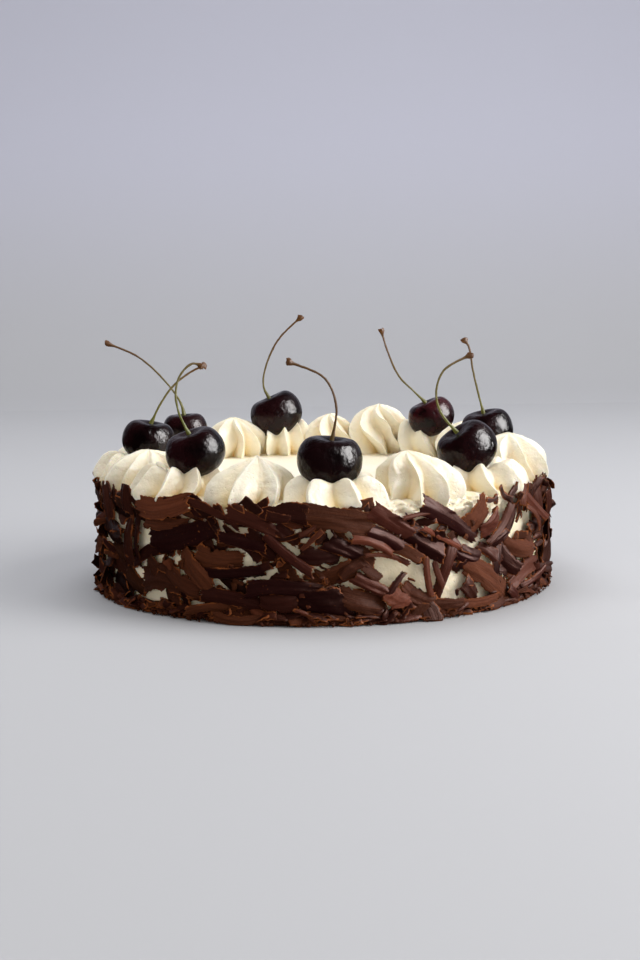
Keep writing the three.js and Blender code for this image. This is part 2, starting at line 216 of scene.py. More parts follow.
# %% [markdown]
# ### Whipped cream
#
# Cream scatters light inside itself, so shadows on it stay warm and soft: a little subsurface
# does that. Where shade falls, in the grooves, at the foot of the rosettes and between the
# shavings, its colour is painted deeper and yellower: this is painted shade. Its skin is finely
# torn, with small pits of air. Only colour, roughness and bump vary over the surface.

# %% Material: cream
CREAM_LIGHT = (0.93, 0.872, 0.725, 1)
# painted shade: the deeper, yellower colour painted where shade falls on the cream
CREAM_PAINTED_SHADE = (0.91, 0.68, 0.29, 1)

cream, start, here = new_material("whipped cream")
groove = mesh_attribute(start, "groove", "Fac")
broad = here.noise(28.0, 2.0)
fine = here.noise(420.0, 4.0, 0.6)
pits = here.node("ShaderNodeTexVoronoi", {}, {"Vector": here, "Scale": 520.0}, "Distance")
# painted shade: grooves, the foot of the rosettes and the coat between the shavings are painted
# yellower, more so below the top; the broad noise is the cream's own uneven tone
low = here.split()[2].fade(0.058, 0.050)
painted_shade = groove ** 1.8 * (0.5 + 0.45 * low) + broad.fade(0.35, 0.7) * 0.12
finish_material(cream, {
    "Base Color": painted_shade.tint(CREAM_LIGHT, CREAM_PAINTED_SHADE),
    "Roughness": fine.fade(0.3, 0.7, 0.42, 0.58),
    "Specular IOR Level": 0.35,
    "Subsurface Weight": 0.3,
    "Subsurface Radius": (0.0020, 0.0015, 0.0009),
    "Subsurface Scale": 1.0,
    "Normal": bump(fine * 0.7 + pits.fade(0.0, 0.25) * 0.3, 0.0009, 0.8),
})

# %% [markdown]
# ### Dark chocolate
#
# A plane drawn over a block of chocolate leaves two faces: the one that slid on the steel is
# smooth and shines, and the torn one is dull, paler and striped along the cut. Each shaving
# carries three numbers for that: how dull, how pale and how red it is. How pale also holds
# painted light: smooth faces on the lit right are painted paler, and shavings that lie
# underneath are painted darker as painted shade. Its edges, where it is thin and broken, are
# the palest: partly the broken edge's own colour, partly a painted glow of light through the
# thin chocolate.

# %% Material: chocolate
GLOSSY_CHOCOLATE = (0.0168, 0.0032, 0.0036, 1)
DULL_CHOCOLATE = (0.082, 0.0232, 0.0095, 1)
RED_CHOCOLATE = (0.098, 0.025, 0.013, 1)
# the paler colour of torn edges and dust specks; on the edges it is partly a painted glow of light
# through thin chocolate
TORN_DUST_AND_GLOW = (0.25, 0.072, 0.020, 1)
SHEEN = (1.0, 0.50, 0.38, 1)  # cocoa warms what chocolate reflects

chocolate, start, here = new_material("dark chocolate")
dull, pale, red = mesh_attribute(start, "look").split()
u, v, _ = mesh_attribute(start, "spot").split()
seed = mesh_attribute(start, "cut").split()[2]
stripes = start.join(u * 0.8 + seed * 17.0, v * 9.0, seed * 31.0).noise(1.0, 5.0, 0.7)
flecks = here.noise(650.0, 3.0, 0.6)
dust = here.node("ShaderNodeTexVoronoi", {}, {"Vector": here, "Scale": 700.0}, "Distance")
dusty = dust.fade(0.2, 0.1) * here.noise(160.0, 2.0).fade(0.5, 0.7)
cloud = here.noise(90.0, 2.0)
inward = mesh_attribute(start, "inward", "Fac") * 1000.0 + (flecks - 0.5) * 0.9
ragged = here.noise(150.0, 2.0).fade(0.44, 0.60)
# torn edges are painted paler: partly the broken edge's own colour, partly a painted glow where
# light shines through the thin chocolate
torn = inward.fade(0.55, 0.08) * (0.06 + 0.9 * ragged)
body = (dull * 0.85 + stripes.fade(0.45, 0.75) * dull * 0.3 + cloud * 0.1).tint(
    GLOSSY_CHOCOLATE, DULL_CHOCOLATE)
body = (red * 0.8).tint(body, RED_CHOCOLATE)
# tone and painted light: pale holds each shaving's own tone, paler smooth faces on the lit right
# and darker pieces underneath as painted shade; the stripes are the cut's own streaks
painted_light_and_tone = (2.0 ** (pale * 0.8)) * (0.45 + stripes * 1.1)
body = body.times(painted_light_and_tone)
finish_material(chocolate, {
    "Base Color": torn.math("MAXIMUM", dusty * 0.45).tint(body, TORN_DUST_AND_GLOW),
    "Roughness": 0.36 + dull * 0.34 + torn * 0.2 + flecks.fade(0.4, 0.8) * 0.14,
    "Specular IOR Level": 0.10,
    "Specular Tint": SHEEN,
    "Coat Weight": (1.0 - dull) * cloud.fade(0.3, 0.7, 0.0, 0.07),
    "Coat Roughness": 0.3,
    "Normal": bump(stripes * (0.35 + dull) + flecks * (0.3 + dull * 0.6), 0.0006, 0.7),
})

# %% [markdown]
# ### Cherry skin and stalk
#
# A ripe dark cherry is nearly black, with wine red where light gets into it, under a soft gloss
# that fine dents break up. The stalk is green where it leaves the fruit and dries to brown, with
# a finely grained skin and a corky knob at its end.

# %% Materials: cherry and stalk
CHERRY_DARK = (0.0026, 0.0008, 0.0011, 1)
CHERRY_RED = (0.045, 0.006, 0.009, 1)

cherry_skin, start, here = new_material("cherry skin")
blush = mesh_attribute(start, "blush", "Fac")
patches = here.noise(70.0, 3.0, 0.6)
specks = here.noise(900.0, 1.0)
finish_material(cherry_skin, {
    "Base Color": (blush * patches.fade(0.35, 0.65)).tint(CHERRY_DARK, CHERRY_RED),
    "Roughness": patches.fade(0.3, 0.7, 0.19, 0.29),
    "Specular IOR Level": 0.17,
    "Coat Weight": 0.02,
    "Coat Roughness": 0.1,
    "Normal": bump(here.noise(420.0, 3.0) + specks * 0.1, 0.0008, 0.6),
})

STALK_GREEN = (0.155, 0.165, 0.022, 1)
STALK_BROWN = (0.115, 0.050, 0.0095, 1)
STALK_CORK = (0.125, 0.048, 0.011, 1)

stalk_skin, start, here = new_material("cherry stalk")
share = mesh_attribute(start, "share", "Fac")
green = mesh_attribute(start, "green", "Fac")
grain = here.noise(900.0, 3.0, 0.6)
drying = (1 - green) + share * 1.1 + (grain - 0.5) * 0.5
skin = drying.tint(STALK_GREEN, STALK_BROWN)
finish_material(stalk_skin, {
    "Base Color": share.fade(0.9, 0.97).tint(skin, STALK_CORK),
    "Roughness": grain.fade(0.3, 0.7, 0.42, 0.62),
    "Specular IOR Level": 0.25,
    "Normal": bump(grain, 0.0004, 0.6),
})

# %% [markdown]
# ## Helpers that make meshes
#
# A turned shape is rows of points, one row above the other. `ring_mesh` joins them and closes
# both ends in a single point, so there is no hole and no seam. `paint` leaves numbers on the
# points, which materials and rules read, and `dress` hides the CAD node that a piece stands
# for and sets the piece on the cake.

# %% Mesh helpers
def add_object(name, data):
    """A new object in the scene, at the origin."""
    made = bpy.data.objects.new(name, data)
    bpy.context.collection.objects.link(made)
    return made


def paint(mesh, label, values, kind="FLOAT", field="value"):
    """Leaves a number, or three, on each point of a mesh."""
    column = mesh.attributes.new(label, kind, "POINT")
    column.data.foreach_set(field, np.array(values, dtype=np.float32).ravel())


def ring_mesh(name, rows, material):
    """A closed mesh from an array of rows of points; its first and last rows are points."""
    inner = rows[1:-1]
    count, around = inner.shape[:2]
    points = [rows[0, 0], *inner.reshape(-1, 3), rows[-1, 0]]
    last = len(points) - 1
    faces = []
    for i in range(around):
        j = (i + 1) % around
        faces.append((0, 1 + j, 1 + i))
        for row in range(count - 1):
            low = 1 + row * around
            faces.append((low + i, low + j, low + j + around, low + i + around))
        top = 1 + (count - 1) * around
        faces.append((top + i, top + j, last))
    mesh = bpy.data.meshes.new(name)
    mesh.from_pydata([tuple(p) for p in points], [], faces)
    mesh.materials.append(material)
    mesh.shade_smooth()
    return add_object(name, mesh)


def polar(reach, angle, height):
    """The point at a distance from the axis, an angle in degrees and a height."""
    return Vector((reach * cos(radians(angle)), reach * sin(radians(angle)), height))


def bell(value, middle, width):
    """1 at the middle, and less the further the value is from it."""
    return exp(-(((value - middle) / width) ** 2))


def dress(piece, node):
    """The piece hides the CAD node that it stands for and rides on the cake."""
    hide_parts(node)
    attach(piece, "root")
    print(piece.name, len(piece.data.polygons), "faces")


# %% [markdown]
# Rules that repeat are Geometry Nodes trees. `new_rule` opens one with named sizes, `end_rule`
# closes it with Realize Instances and Set Material, and `grow` runs it on a start mesh and
# keeps the result as a plain mesh.

# %% Geometry Nodes helpers
def new_rule(name, **sizes):
    """A tree with a geometry input and the named sizes of each kind, as wires by name."""
    tree = bpy.data.node_groups.new(name, "GeometryNodeTree")

    def socket(label, side, kind):
        tree.interface.new_socket(label, in_out=side, socket_type="NodeSocket" + kind)

    socket("Geometry", "INPUT", "Geometry")
    for kind, labels in sizes.items():
        for label in labels:
            socket(label, "INPUT", kind)
    socket("Geometry", "OUTPUT", "Geometry")
    entry = tree.nodes.new("NodeGroupInput")
    return {socket.name: Wire(tree, socket) for socket in entry.outputs if socket.name}


def end_rule(geometry, material):
    real = geometry.node("GeometryNodeRealizeInstances", {}, {"Geometry": geometry})
    made = real.node("GeometryNodeSetMaterial", {}, {"Geometry": real, "Material": material})
    made.node("NodeGroupOutput", {}, {"Geometry": made})
    print("rule:", geometry.tree.name, len(geometry.tree.nodes), "nodes")
    return geometry.tree


def named(start, name, kind="FLOAT_VECTOR"):
    return start.node("GeometryNodeInputNamedAttribute", {"data_type": kind}, {"Name": name})


def store(geometry, name, value, kind="FLOAT_VECTOR"):
    settings = {"data_type": kind, "domain": "POINT"}
    sockets = {"Geometry": geometry, "Name": name, "Value": value}
    return geometry.node("GeometryNodeStoreNamedAttribute", settings, sockets)


def position(start):
    return start.node("GeometryNodeInputPosition")


def moved(geometry, place):
    sockets = {"Geometry": geometry, "Position": place}
    return geometry.node("GeometryNodeSetPosition", {}, sockets)


def smoothed(geometry, faces=True):
    """Shades these faces smoothly; a flat face next to them keeps its edges crisp."""
    sockets = {"Geometry": geometry, "Selection": faces}
    return geometry.node("GeometryNodeSetShadeSmooth", {}, sockets)


def metres(lengths):
    """The same sizes, from millimetres."""
    return {label: length * MM for label, length in lengths.items()}


def scattered(points, thing, **turned):
    """A copy of a mesh on every point, made real so that each can be bent by itself."""
    sockets = {"Points": points, "Instance": thing, **turned}
    copies = points.node("GeometryNodeInstanceOnPoints", {}, sockets, "Instances")
    return points.node("GeometryNodeRealizeInstances", {}, {"Geometry": copies})


def grow(name, tree, sizes, mesh=None):
    """Runs a tree on a mesh with these sizes; returns the result as a plain object."""
    piece = add_object(name, mesh or bpy.data.meshes.new(name))
    rule = piece.modifiers.new("rule", "NODES")
    rule.node_group = tree
    for item in tree.interface.items_tree:
        if item.in_out == "INPUT" and item.name in sizes:
            rule[item.identifier] = sizes[item.name]
    graph = bpy.context.evaluated_depsgraph_get()
    made = bpy.data.meshes.new_from_object(
        piece.evaluated_get(graph), preserve_all_data_layers=True, depsgraph=graph)
    piece.modifiers.remove(rule)
    piece.data = made
    made.name = name
    material = made.materials[-1]  # the slot before it is empty
    made.materials.clear()
    made.materials.append(material)
    made.polygons.foreach_set("material_index", [0] * len(made.polygons))
    return piece


# %% [markdown]
# ## The cream coat
#
# The cake's body is a short drum that a palette knife has smoothed: flat on top, rounded at
# the rim, with shallow strokes round the side. A plain cylinder would look like plastic, so
# the turned outline is pushed in and out by noise that is stretched along the strokes. At the
# front right the rim was left rough.

# %% Model the coat
CAKE_RADIUS = 103.5
CAKE_TOP = 50.0
RIM_ROUND = 6.0
FOOT_ROUND = 1.5
COAT_COLUMNS = 820
SIDE_ROWS, RIM_ROWS, TOP_ROWS = 40, 14, 34
ROUGH_RIM = (306.0, 24.0)  # the middle of the rough stretch of rim and half its extent, degrees
ROUGH_HEIGHT = (47.5, 4.0)  # the middle of its height and half its extent
ROUGH_FROM = 90.0  # the top is smooth inside this radius
SIDE_TOP = 47.0  # below it the cream between the shavings gets painted shade
RIM_START = 97.0  # outside it the cream beside the rosettes gets a little painted shade


def coat_outline():
    """Radius and height from the middle of the base, up the side, to the middle of the top."""
    base = [(r, 0.0) for r in (0, 50, 90, CAKE_RADIUS - FOOT_ROUND)]
    side = [(CAKE_RADIUS, z) for z in np.linspace(FOOT_ROUND, CAKE_TOP - RIM_ROUND, SIDE_ROWS)]
    rim = [
        (CAKE_RADIUS - RIM_ROUND * (1 - cos(turn)), CAKE_TOP - RIM_ROUND * (1 - sin(turn)))
        for turn in np.linspace(0, pi / 2, RIM_ROWS)[1:]
    ]
    top = [(r, CAKE_TOP) for r in np.linspace(CAKE_RADIUS - RIM_ROUND, 0, TOP_ROWS)[1:]]
    return base + side + rim + top


def coat_point(radius, height, turn):
    """A point of the coat, with the strokes of the knife."""
    x, y = cos(turn), sin(turn)

    def grain(around, up):
        return noise.noise((x * around, y * around, height * up))

    stroke = grain(2.4, 0.16) * 0.35 + grain(9, 0.5) * 0.15
    swell = noise.noise((x * radius * 0.03, y * radius * 0.03, 7.0)) * 0.35
    swell += noise.noise((x * radius * 0.11, y * radius * 0.11, 3.0)) * 0.12
    away = abs((degrees(turn) - ROUGH_RIM[0] + 180) % 360 - 180) / ROUGH_RIM[1]
    rough = exp(-(away**4)) * bell(height, *ROUGH_HEIGHT) if radius > ROUGH_FROM else 0
    lump = grain(30, 0.3) + grain(75, 0.8) * 0.5
    hole = min(0.0, grain(110, 1.1) + 0.1) * 5
    on_side = min(1.0, height / 4) * min(1.0, radius / CAKE_RADIUS) ** 8
    on_top = 1.0 if height > CAKE_TOP - 2 else 0.0
    reach = radius + on_side * (stroke - 0.3) + rough * (lump * 2.4 + hole)
    height += on_top * (swell - 0.2) + rough * (lump * 1.2 + hole * 0.3)
    return reach * x * MM, reach * y * MM, height * MM


def coat_painted_shade(point):
    """How much painted shade the cream gets at a point of the coat, from 0 to 1."""
    if point.z < SIDE_TOP * MM:
        return 0.5
    return 0.4 if hypot(point.x, point.y) > RIM_START * MM else 0.0


outline = coat_outline()
turns = np.linspace(0, 2 * pi, COAT_COLUMNS, endpoint=False)
coat_rows = np.array([[coat_point(r, z, turn) for turn in turns] for r, z in outline])
coat_rows[0], coat_rows[-1] = coat_rows[0].mean(0), coat_rows[-1].mean(0)
coat = ring_mesh("coat", coat_rows, cream)
# the groove attribute of the coat carries painted shade
paint(coat.data, "groove", [coat_painted_shade(vertex.co) for vertex in coat.data.vertices])
dress(coat, "cake")

# %% [markdown]
# ## The chocolate shavings
#
# Shavings are thin slabs that curl as they leave the knife. One rule makes them all: a flat
# slab of small faces is copied to every place, and each copy is bowed along its length, rolled
# across its width, tapered, skewed and torn at its edges by its own numbers. The places come
# first: the largest shavings of the front one by one, others by the rule that the CAD model
# uses too, and small ones wherever the coat would still be bare.

# %% Numbers for one shaving
def between(low, high, share):
    return low + (high - low) * share


def draw(k, salt, low=0.0, high=1.0):
    """A repeatable draw between two values for item k, with one salt for each use."""
    mixed = sin(k * 12.9898 + salt * 78.233) * 43758.5453
    return between(low, high, mixed - floor(mixed))


def shaving(angle, height, tilt, length, width, **more):
    """All numbers of one shaving: degrees, millimetres, and 0 to 1 for its looks."""
    usual = dict(
        roll=0.25, twist=0.0, skew=0.0, thick=0.9, seed=draw(angle, height),
        pinch=(draw(angle, 31) ** 4, draw(angle, 32) ** 4), sway=draw(angle, 33, -0.1, 0.1))
    place = dict(angle=angle, height=height, tilt=tilt, length=length, width=width)
    return {**usual, **place, **more}


def arc(width, bow):
    """Length and half angle of the arc that rises by `bow` over a chord."""
    radius = width * width / (8 * bow) + bow / 2
    half = asin(min(1.0, width / 2 / radius))
    return 2 * radius * half, half


# %% [markdown]
# The largest shavings of the front. Each row has the angle, height, tilt, length and width,
# how far it stands out, how far it rolls (1 is most of a half turn), and then how dull, pale
# and red it is.

# %% Table: large shavings at the front
FRONT = (210, 341)  # from which angle to which they lie
FRONT_SHAVINGS = [
    (229.8, 46.5, 6, 32, 9.3, 1.6, 0.2, 1, 0.7, 0.3),
    (244, 46, -23, 25.3, 4.2, 2.0, 0.7, 0, -0.2, 0.5),
    (235.7, 35.4, 15, 34, 10.5, 1.0, 0.3, 0, -0.2, 0),
    (230.2, 38.8, 2, 23, 5.5, 1.0, 0.2, 0.9, 0.1, 0.2),
    (216.3, 29.1, 84, 20, 8, 1.2, 0.4, 0.2, -0.3, 0.2),
    (220, 30.4, 82, 19.9, 5.9, 1.0, 0.3, 0.1, -0.4, 0),
    (217, 47.4, -85, 11.8, 6.4, 2.4, 0.4, 0.1, -0.5, 0.3),
    (205.9, 44.3, -61, 17.3, 7.9, 2.0, 0.3, 0.3, -0.2, 0.2),
    (225.5, 20.7, -36, 8.4, 7.4, 0.7, 0.1, 0.6, -0.6, 0.2),
    (228.5, 14.7, 0, 22.6, 9.3, 0.4, 0.1, 0.6, -0.6, 0.2),
    (230.6, 21.3, -21, 7.6, 6, 0.6, 0.1, 0.6, -0.6, 0.2),
    (232.3, 8.2, -12, 8.2, 5.9, 0.6, 0.1, 0.6, -0.6, 0.2),
    (239.5, 20.8, -38, 20, 9.6, 1.8, 0.15, 1, 0.3, 0),
    (245.4, 26.8, -4, 19.9, 9, 1.2, 0.2, 1, 0.1, 0),
    (234.9, 16.8, -27, 21.3, 6.9, 1.2, 0.2, 0.8, -0.3, 0.2),
    (236, 12.1, 88, 10.4, 5.5, 1.0, 0.3, 0, -0.5, 0),
    (249.2, 10.3, -9, 26.7, 6.2, 1.6, 0.4, 0, -0.2, 0.2),
    (251.6, 35.1, -10, 18.9, 6.1, 1.8, 0.5, 0, 0, 0),
    (254.1, 42.5, -22, 21.4, 6.6, 1.6, 0.4, 0, 0, 0.5),
    (249.1, 21.8, 4, 27, 4.9, 1.4, 0.4, 0, -0.4, 0),
    (243.9, 6.1, 6, 23.4, 3.7, 2.4, 0.3, 1, 0.1, 0),
    (250.4, 2.6, 0, 20.7, 4.1, 3.0, 0.2, 1, 0, 0),
    (261.4, 46.2, 2, 18.8, 8.1, 1.8, 0.3, 0.1, -0.3, 0.1),
    (260.2, 44.5, -4, 9.6, 4.5, 2.8, 0.3, 0.2, 0.2, 0),
    (262.2, 29.8, -37, 23.8, 7.4, 2.0, 1.25, 0, 0.3, 0.3),
    (274, 42.9, -10, 27.1, 10.9, 1.6, 0.25, 0.9, -0.3, 0),
    (285.6, 41.6, -32, 20.8, 7.8, 2.0, 0.6, 0, 0.3, 0.4),
    (285, 35, -29, 19.2, 7, 2.2, 0.7, 0, 0.2, 0),
    (280.9, 34.3, -20, 17, 5.4, 3.0, 0.9, 0.3, 0.9, 0.9),
    (274.9, 32.1, -24, 15.3, 6.9, 1.2, 0.3, 0, 0, 0),
    (269.3, 29.7, 2, 16.5, 7.7, 1.2, 0.3, 0, -0.3, 0.1),
    (267.6, 36.3, 42, 11.2, 2.4, 2.8, 0.5, 0.5, 0.4, 0.5),
    (266.9, 39.3, 31, 8.7, 2.4, 2.2, 0.5, 0.4, 0.2, 0.4),
    (261.2, 15.7, -1, 29.4, 6.9, 1.6, 0.4, 0, -0.1, 0),
    (259.9, 9.7, 0, 14.8, 8.1, 1.8, 0.3, 0, -0.3, 0.3),
    (269.6, 9.7, 2, 19.8, 11.3, 1.4, 0.25, 0, -0.5, 0),
    (278.8, 9.8, -15, 18.2, 8.9, 1.6, 0.2, 0.8, -0.3, 0),
    (276, 23.8, 32, 9.8, 8.5, 1.6, 1.3, 0.6, -0.4, 0.2),
    (280.4, 16.9, -29, 14.4, 5.9, 2.6, 0.6, 0.1, 0.4, 0.4),
    (280.3, 22.9, -44, 11.6, 4.5, 1.8, 0.3, 0.6, -0.2, 0),
    (285.9, 15.7, 51, 13.4, 2.9, 2.6, 0.4, 0, -0.2, 0.1),
    (286.5, 10.4, 21, 9, 8.2, 3.0, 0.2, 0.5, 0.7, 0.9),
    (284.5, 28.1, -14, 18.2, 2.2, 3.0, 0.5, 0.6, 0.1, 0.8),
    (300.2, 40.2, -30, 31.7, 7.8, 1.8, 0.5, 0, 0.2, 0),
    (292.7, 44.4, 6, 19, 2, 4.0, 0.6, 0.5, 0.3, 0.7),
    (293.1, 33.9, -35, 20.3, 10.5, 1.2, 0.5, 0, -0.2, 0),
    (297.8, 34.2, -27, 23.1, 2.6, 3.6, 0.7, 0.3, 0.9, 0.9),
    (307.5, 40.9, 42, 14, 9, 2.2, 0.15, 1, 0.7, 0.1),
    (311.6, 37.3, 35, 10.8, 7.3, 3.4, 0.2, 0.2, 1, 0.2),
    (316, 36, 40, 22, 4.4, 2.8, 0.5, 0.3, 0.2, 0),
    (311.2, 14.4, -32, 28, 9.9, 1.8, 0.2, 1, 0.6, 0),
    (298.6, 19.1, 71, 23.5, 5.1, 1.8, 0.4, 0.1, 0, 0.3),
    (294, 18.8, -82, 15.7, 3.6, 3.2, 0.6, 0.5, 0.5, 0.8),
    (296.9, 19.2, -69, 10.9, 3.2, 2.4, 0.5, 0.3, 0, 0.5),
    (289.9, 13.1, -51, 7.1, 5.9, 1.0, 0.1, 0.8, 0.1, 0.3),
    (304.4, 26.6, -28, 17.4, 7.3, 1.4, 0.3, 0, 0, 0),
    (324.3, 24.3, -12, 20, 7.9, 2.0, 0.4, 1, 0.5, 0.2),
    (327, 13, 14, 24, 6.9, 1.8, 0.2, 0.3, 0.4, 0.4),
    (315.3, 30.7, 31, 10.4, 5, 2.8, 0.3, 0, -0.4, 0.1),
    (314.5, 19.9, 75, 15.3, 5.2, 2.0, 0.3, 0, -0.5, 0),
    (312.5, 24.7, -36, 13.6, 5.5, 1.6, 0.3, 0.2, 0, 0.2),
    (325.4, 46, 70, 9, 4, 2.4, 0.2, 0.5, 0.4, 0.8),
    (331, 40, -40, 20, 4.6, 3.6, 0.5, 0.2, 0.4, 0.6),
    (330.1, 36.6, -50, 14, 2.5, 4.2, 0.3, 0.4, 0.2, 0.6),
    (335.2, 40.3, -70, 20, 8.2, 1.6, 0.4, 0.2, 0, 0.2),
    (344.3, 36, -61, 22, 6.6, 2.2, 0.4, 0.2, 0.1, 0.1),
    (333.7, 9.3, -62, 13, 4.6, 3.2, 0.5, 0.2, 0.4, 0.1),
    (329, 7.9, 20, 20, 3.8, 3.2, 0.6, 0.1, 0.6, 0.2),
    (320.8, 4.6, -33, 12, 5.2, 3.0, 0.4, 0.1, 0.6, 0.1),
    (308.1, 4.9, -1, 19.4, 3.8, 3.0, 0.3, 1, 0.8, 0.1),
    (306.1, 10.1, -50, 10.4, 6.2, 1.6, 0.12, 0.1, -0.6, 0.3),
    (292, 9.7, -27, 12.9, 6.7, 1.4, 0.3, 0.8, -0.2, 0.3),
    (298.9, 6.1, 3, 15.1, 5, 2.4, 0.3, 0.8, -0.1, 0.2),
    (314.6, 2.4, 15, 12.7, 3.9, 3.0, 0.3, 0.5, 0.1, 0.1),
]


OVERLAP = 1.08  # neighbours hide the ends and edges of what the table gives
ROLLED = 0.5  # from here on a shaving counts as rolled, not flat
HIGH = 38  # shavings above this height reach a little further up to the rosettes
PAINTED_LIGHT_FROM = 281  # from this angle on smooth faces are painted paler: painted light from the window
CALM_FRONT = (212, 284)  # between these angles shavings lie flattest


def front_shaving(row):
    angle, height, tilt, length, width, out, roll, dull, pale, red = row
    bow = min(2.4, 0.09 * length) if roll < ROLLED else 0.3
    height += 1 if height > HIGH else 0
    # painted light: smooth faces on the lit right get a paler colour
    pale += 0.45 if angle > PAINTED_LIGHT_FROM and dull < 0.5 else 0
    return shaving(
        angle, height, tilt, length * OVERLAP, width * OVERLAP, out=out + 0.7,
        roll=roll * 1.35 + 0.1, bow=bow, dull=dull, pale=pale, red=red,
        taper=draw(angle, 3, -0.25, 0.25), skew=draw(angle, 4, -0.6, 0.6),
        lift=draw(angle, 5, -16, 20), pinch=(0.0, 0.0), thick=0.8,
        kick=draw(angle, 6, -7, 7) * (2 if angle > CALM_FRONT[1] else 1))


front = [front_shaving(row) for row in FRONT_SHAVINGS]
print("front shavings:", len(front))

# %% Other large shavings, by the CAD model's rule
SHAVING_ROWS = 4
SHAVING_COLUMNS = 12
FOOT_SHAVINGS = 16


def disorder(angle):
    """How far shavings stray from the level, in degrees, by the angle round the cake."""
    to_right = (1 + cos(radians(angle - 325))) / 2
    return between(16, 68, to_right * to_right)


def finish_of(k):
    """How dull, pale and red shaving k is."""
    dull = 1.0 if draw(k, 21) < 0.36 else draw(k, 22, 0, 0.3)
    red = draw(k, 24, 0.2, 0.9) if draw(k, 23) < 0.16 else 0.1
    return dict(dull=dull, red=red, pale=draw(k, 25, -0.5, 0.5), seed=draw(k, 26))


def wall_shaving(k):
    row = k % SHAVING_ROWS
    column = k // SHAVING_ROWS + (row % 2) / 2 + draw(k, 1, -0.3, 0.3)
    angle = column * 360 / SHAVING_COLUMNS
    stray = disorder(angle)
    width, bow, roll = draw(k, 4, 8.5, 13), draw(k, 5, 1, 3), 0.15
    rolled = draw(k, 2) < 0.45
    if rolled:
        width, roll = arc(width, bow)
        bow = 0.0
    return shaving(
        angle, between(5, 46, (row + draw(k, 8, 0.2, 0.8)) / SHAVING_ROWS),
        draw(k, 10, -stray, stray) - 10, draw(k, 3, 21, 34), width, bow=bow, roll=roll,
        skew=draw(k, 6, -0.3, 0.3), taper=draw(k, 7, -0.3, 0.3), out=draw(k, 9, 0, 1.8),
        lift=draw(k, 11, -16, 20), kick=draw(k, 12, -8, 8), **finish_of(k))


def foot_shaving(i):
    k = SHAVING_ROWS * SHAVING_COLUMNS + i
    angle = (i + draw(k, 1, -0.3, 0.3)) * 360 / FOOT_SHAVINGS
    return shaving(
        angle, draw(k, 7, 1.6, 3), draw(k, 9, -12, 12), draw(k, 2, 13, 22), draw(k, 3, 5, 7.5),
        bow=draw(k, 4, 0.6, 1.6), skew=draw(k, 5, -0.4, 0.4), taper=draw(k, 6, -0.3, 0.3),
        out=draw(k, 8, 0.8, 1.8), lift=draw(k, 10, 30, 55), kick=draw(k, 11, -6, 6),
        **finish_of(k))


wall = [wall_shaving(k) for k in range(SHAVING_ROWS * SHAVING_COLUMNS)]
wall = [s for s in wall if not FRONT[0] <= s["angle"] <= FRONT[1]]
foot = [foot_shaving(i) for i in range(FOOT_SHAVINGS)]
print("shavings by rule:", len(wall), "on the wall,", len(foot), "at the foot")

# %% [markdown]
# Small shavings fill what is left. A map of the unrolled side, one cell every millimetre and a
# half, counts what already covers each cell. Each new shaving tries a few random places and
# takes the barest one. A few patches are marked as covered beforehand: there the cream shows.

# %% Fill the side
CELL = 1.5
BARE_PATCHES = [  # angle, height, half width in degrees, half height
    (223.7, 33.4, 2.4, 5.4), (238.8, 42, 2.2, 1.3), (220.6, 16.6, 2.4, 2.2),
    (231.3, 19.3, 3.8, 3.4), (225.3, 7.4, 2, 2.6), (232, 9.8, 2, 2.2), (251.1, 39.6, 3.4, 1.3),
    (250.1, 28.9, 2.2, 1.6), (257.9, 21.9, 1.8, 1.6), (269.2, 25.4, 1.6, 1.0),
    (267.1, 35.9, 1.4, 1.2), (278.7, 15.6, 3.6, 3.4), (284.7, 21.6, 3.2, 4.6),
    (290.1, 20.4, 2.3, 5.8), (296.8, 21.4, 2, 4.6), (302.9, 13.3, 4, 5.4),
    (310.7, 26.5, 2.3, 5.4), (312.4, 8.6, 3.6, 5), (313.9, 20.3, 1.6, 3), (322.8, 9.6, 4, 5),
    (334.3, 17.6, 4.4, 4.4), (277.3, 5.2, 2.2, 2), (299.9, 47.5, 7, 3), (315.5, 44, 5, 3.4),
    (206.1, 34.6, 2, 2), (237.6, 17.5, 1.3, 1.8), (324.3, 33.2, 4.4, 3.8), (292, 49, 8, 2.6),
]
BARE = 3  # how often a bare patch counts as covered
FULL = 4  # more cover than this counts as this
chance = random.Random(11)
pick = chance.uniform
map_columns = round(2 * pi * CAKE_RADIUS / CELL)
map_arc = (np.arange(map_columns) + 0.5) * CELL
map_height = (np.arange(round(CAKE_TOP / CELL)) + 0.5) * CELL
ARC, HEIGHT = np.meshgrid(map_arc, map_height)
cover = np.zeros(ARC.shape)
GIRTH = map_columns * CELL


def offsets(angle, height):
    """How far each cell lies from a place, along the side and up."""
    along = (ARC - angle / 360 * GIRTH + GIRTH / 2) % GIRTH - GIRTH / 2
    return along, HEIGHT - height


def under(s):
    """The cells that a shaving lies over."""
    along, up = offsets(s["angle"], s["height"])
    turn = radians(s["tilt"])
    u = along * cos(turn) + up * sin(turn)
    v = up * cos(turn) - along * sin(turn)
    return (abs(u) < s["length"] * 0.48) & (abs(v) < s["width"] * 0.46)


def covered(s):
    """How much already covers the cells that a shaving would lie over."""
    cells = cover[under(s)]
    return np.minimum(cells, FULL).mean() if cells.size else inf


def any_finish():
    return finish_of(chance.randint(1, 9999))


def somewhere(highest, lengths, widths):
    angle = pick(0, 360)
    stray = disorder(angle) + 14
    return shaving(
        angle, highest * chance.random(), pick(-stray, stray) - 8, pick(*lengths), pick(*widths))


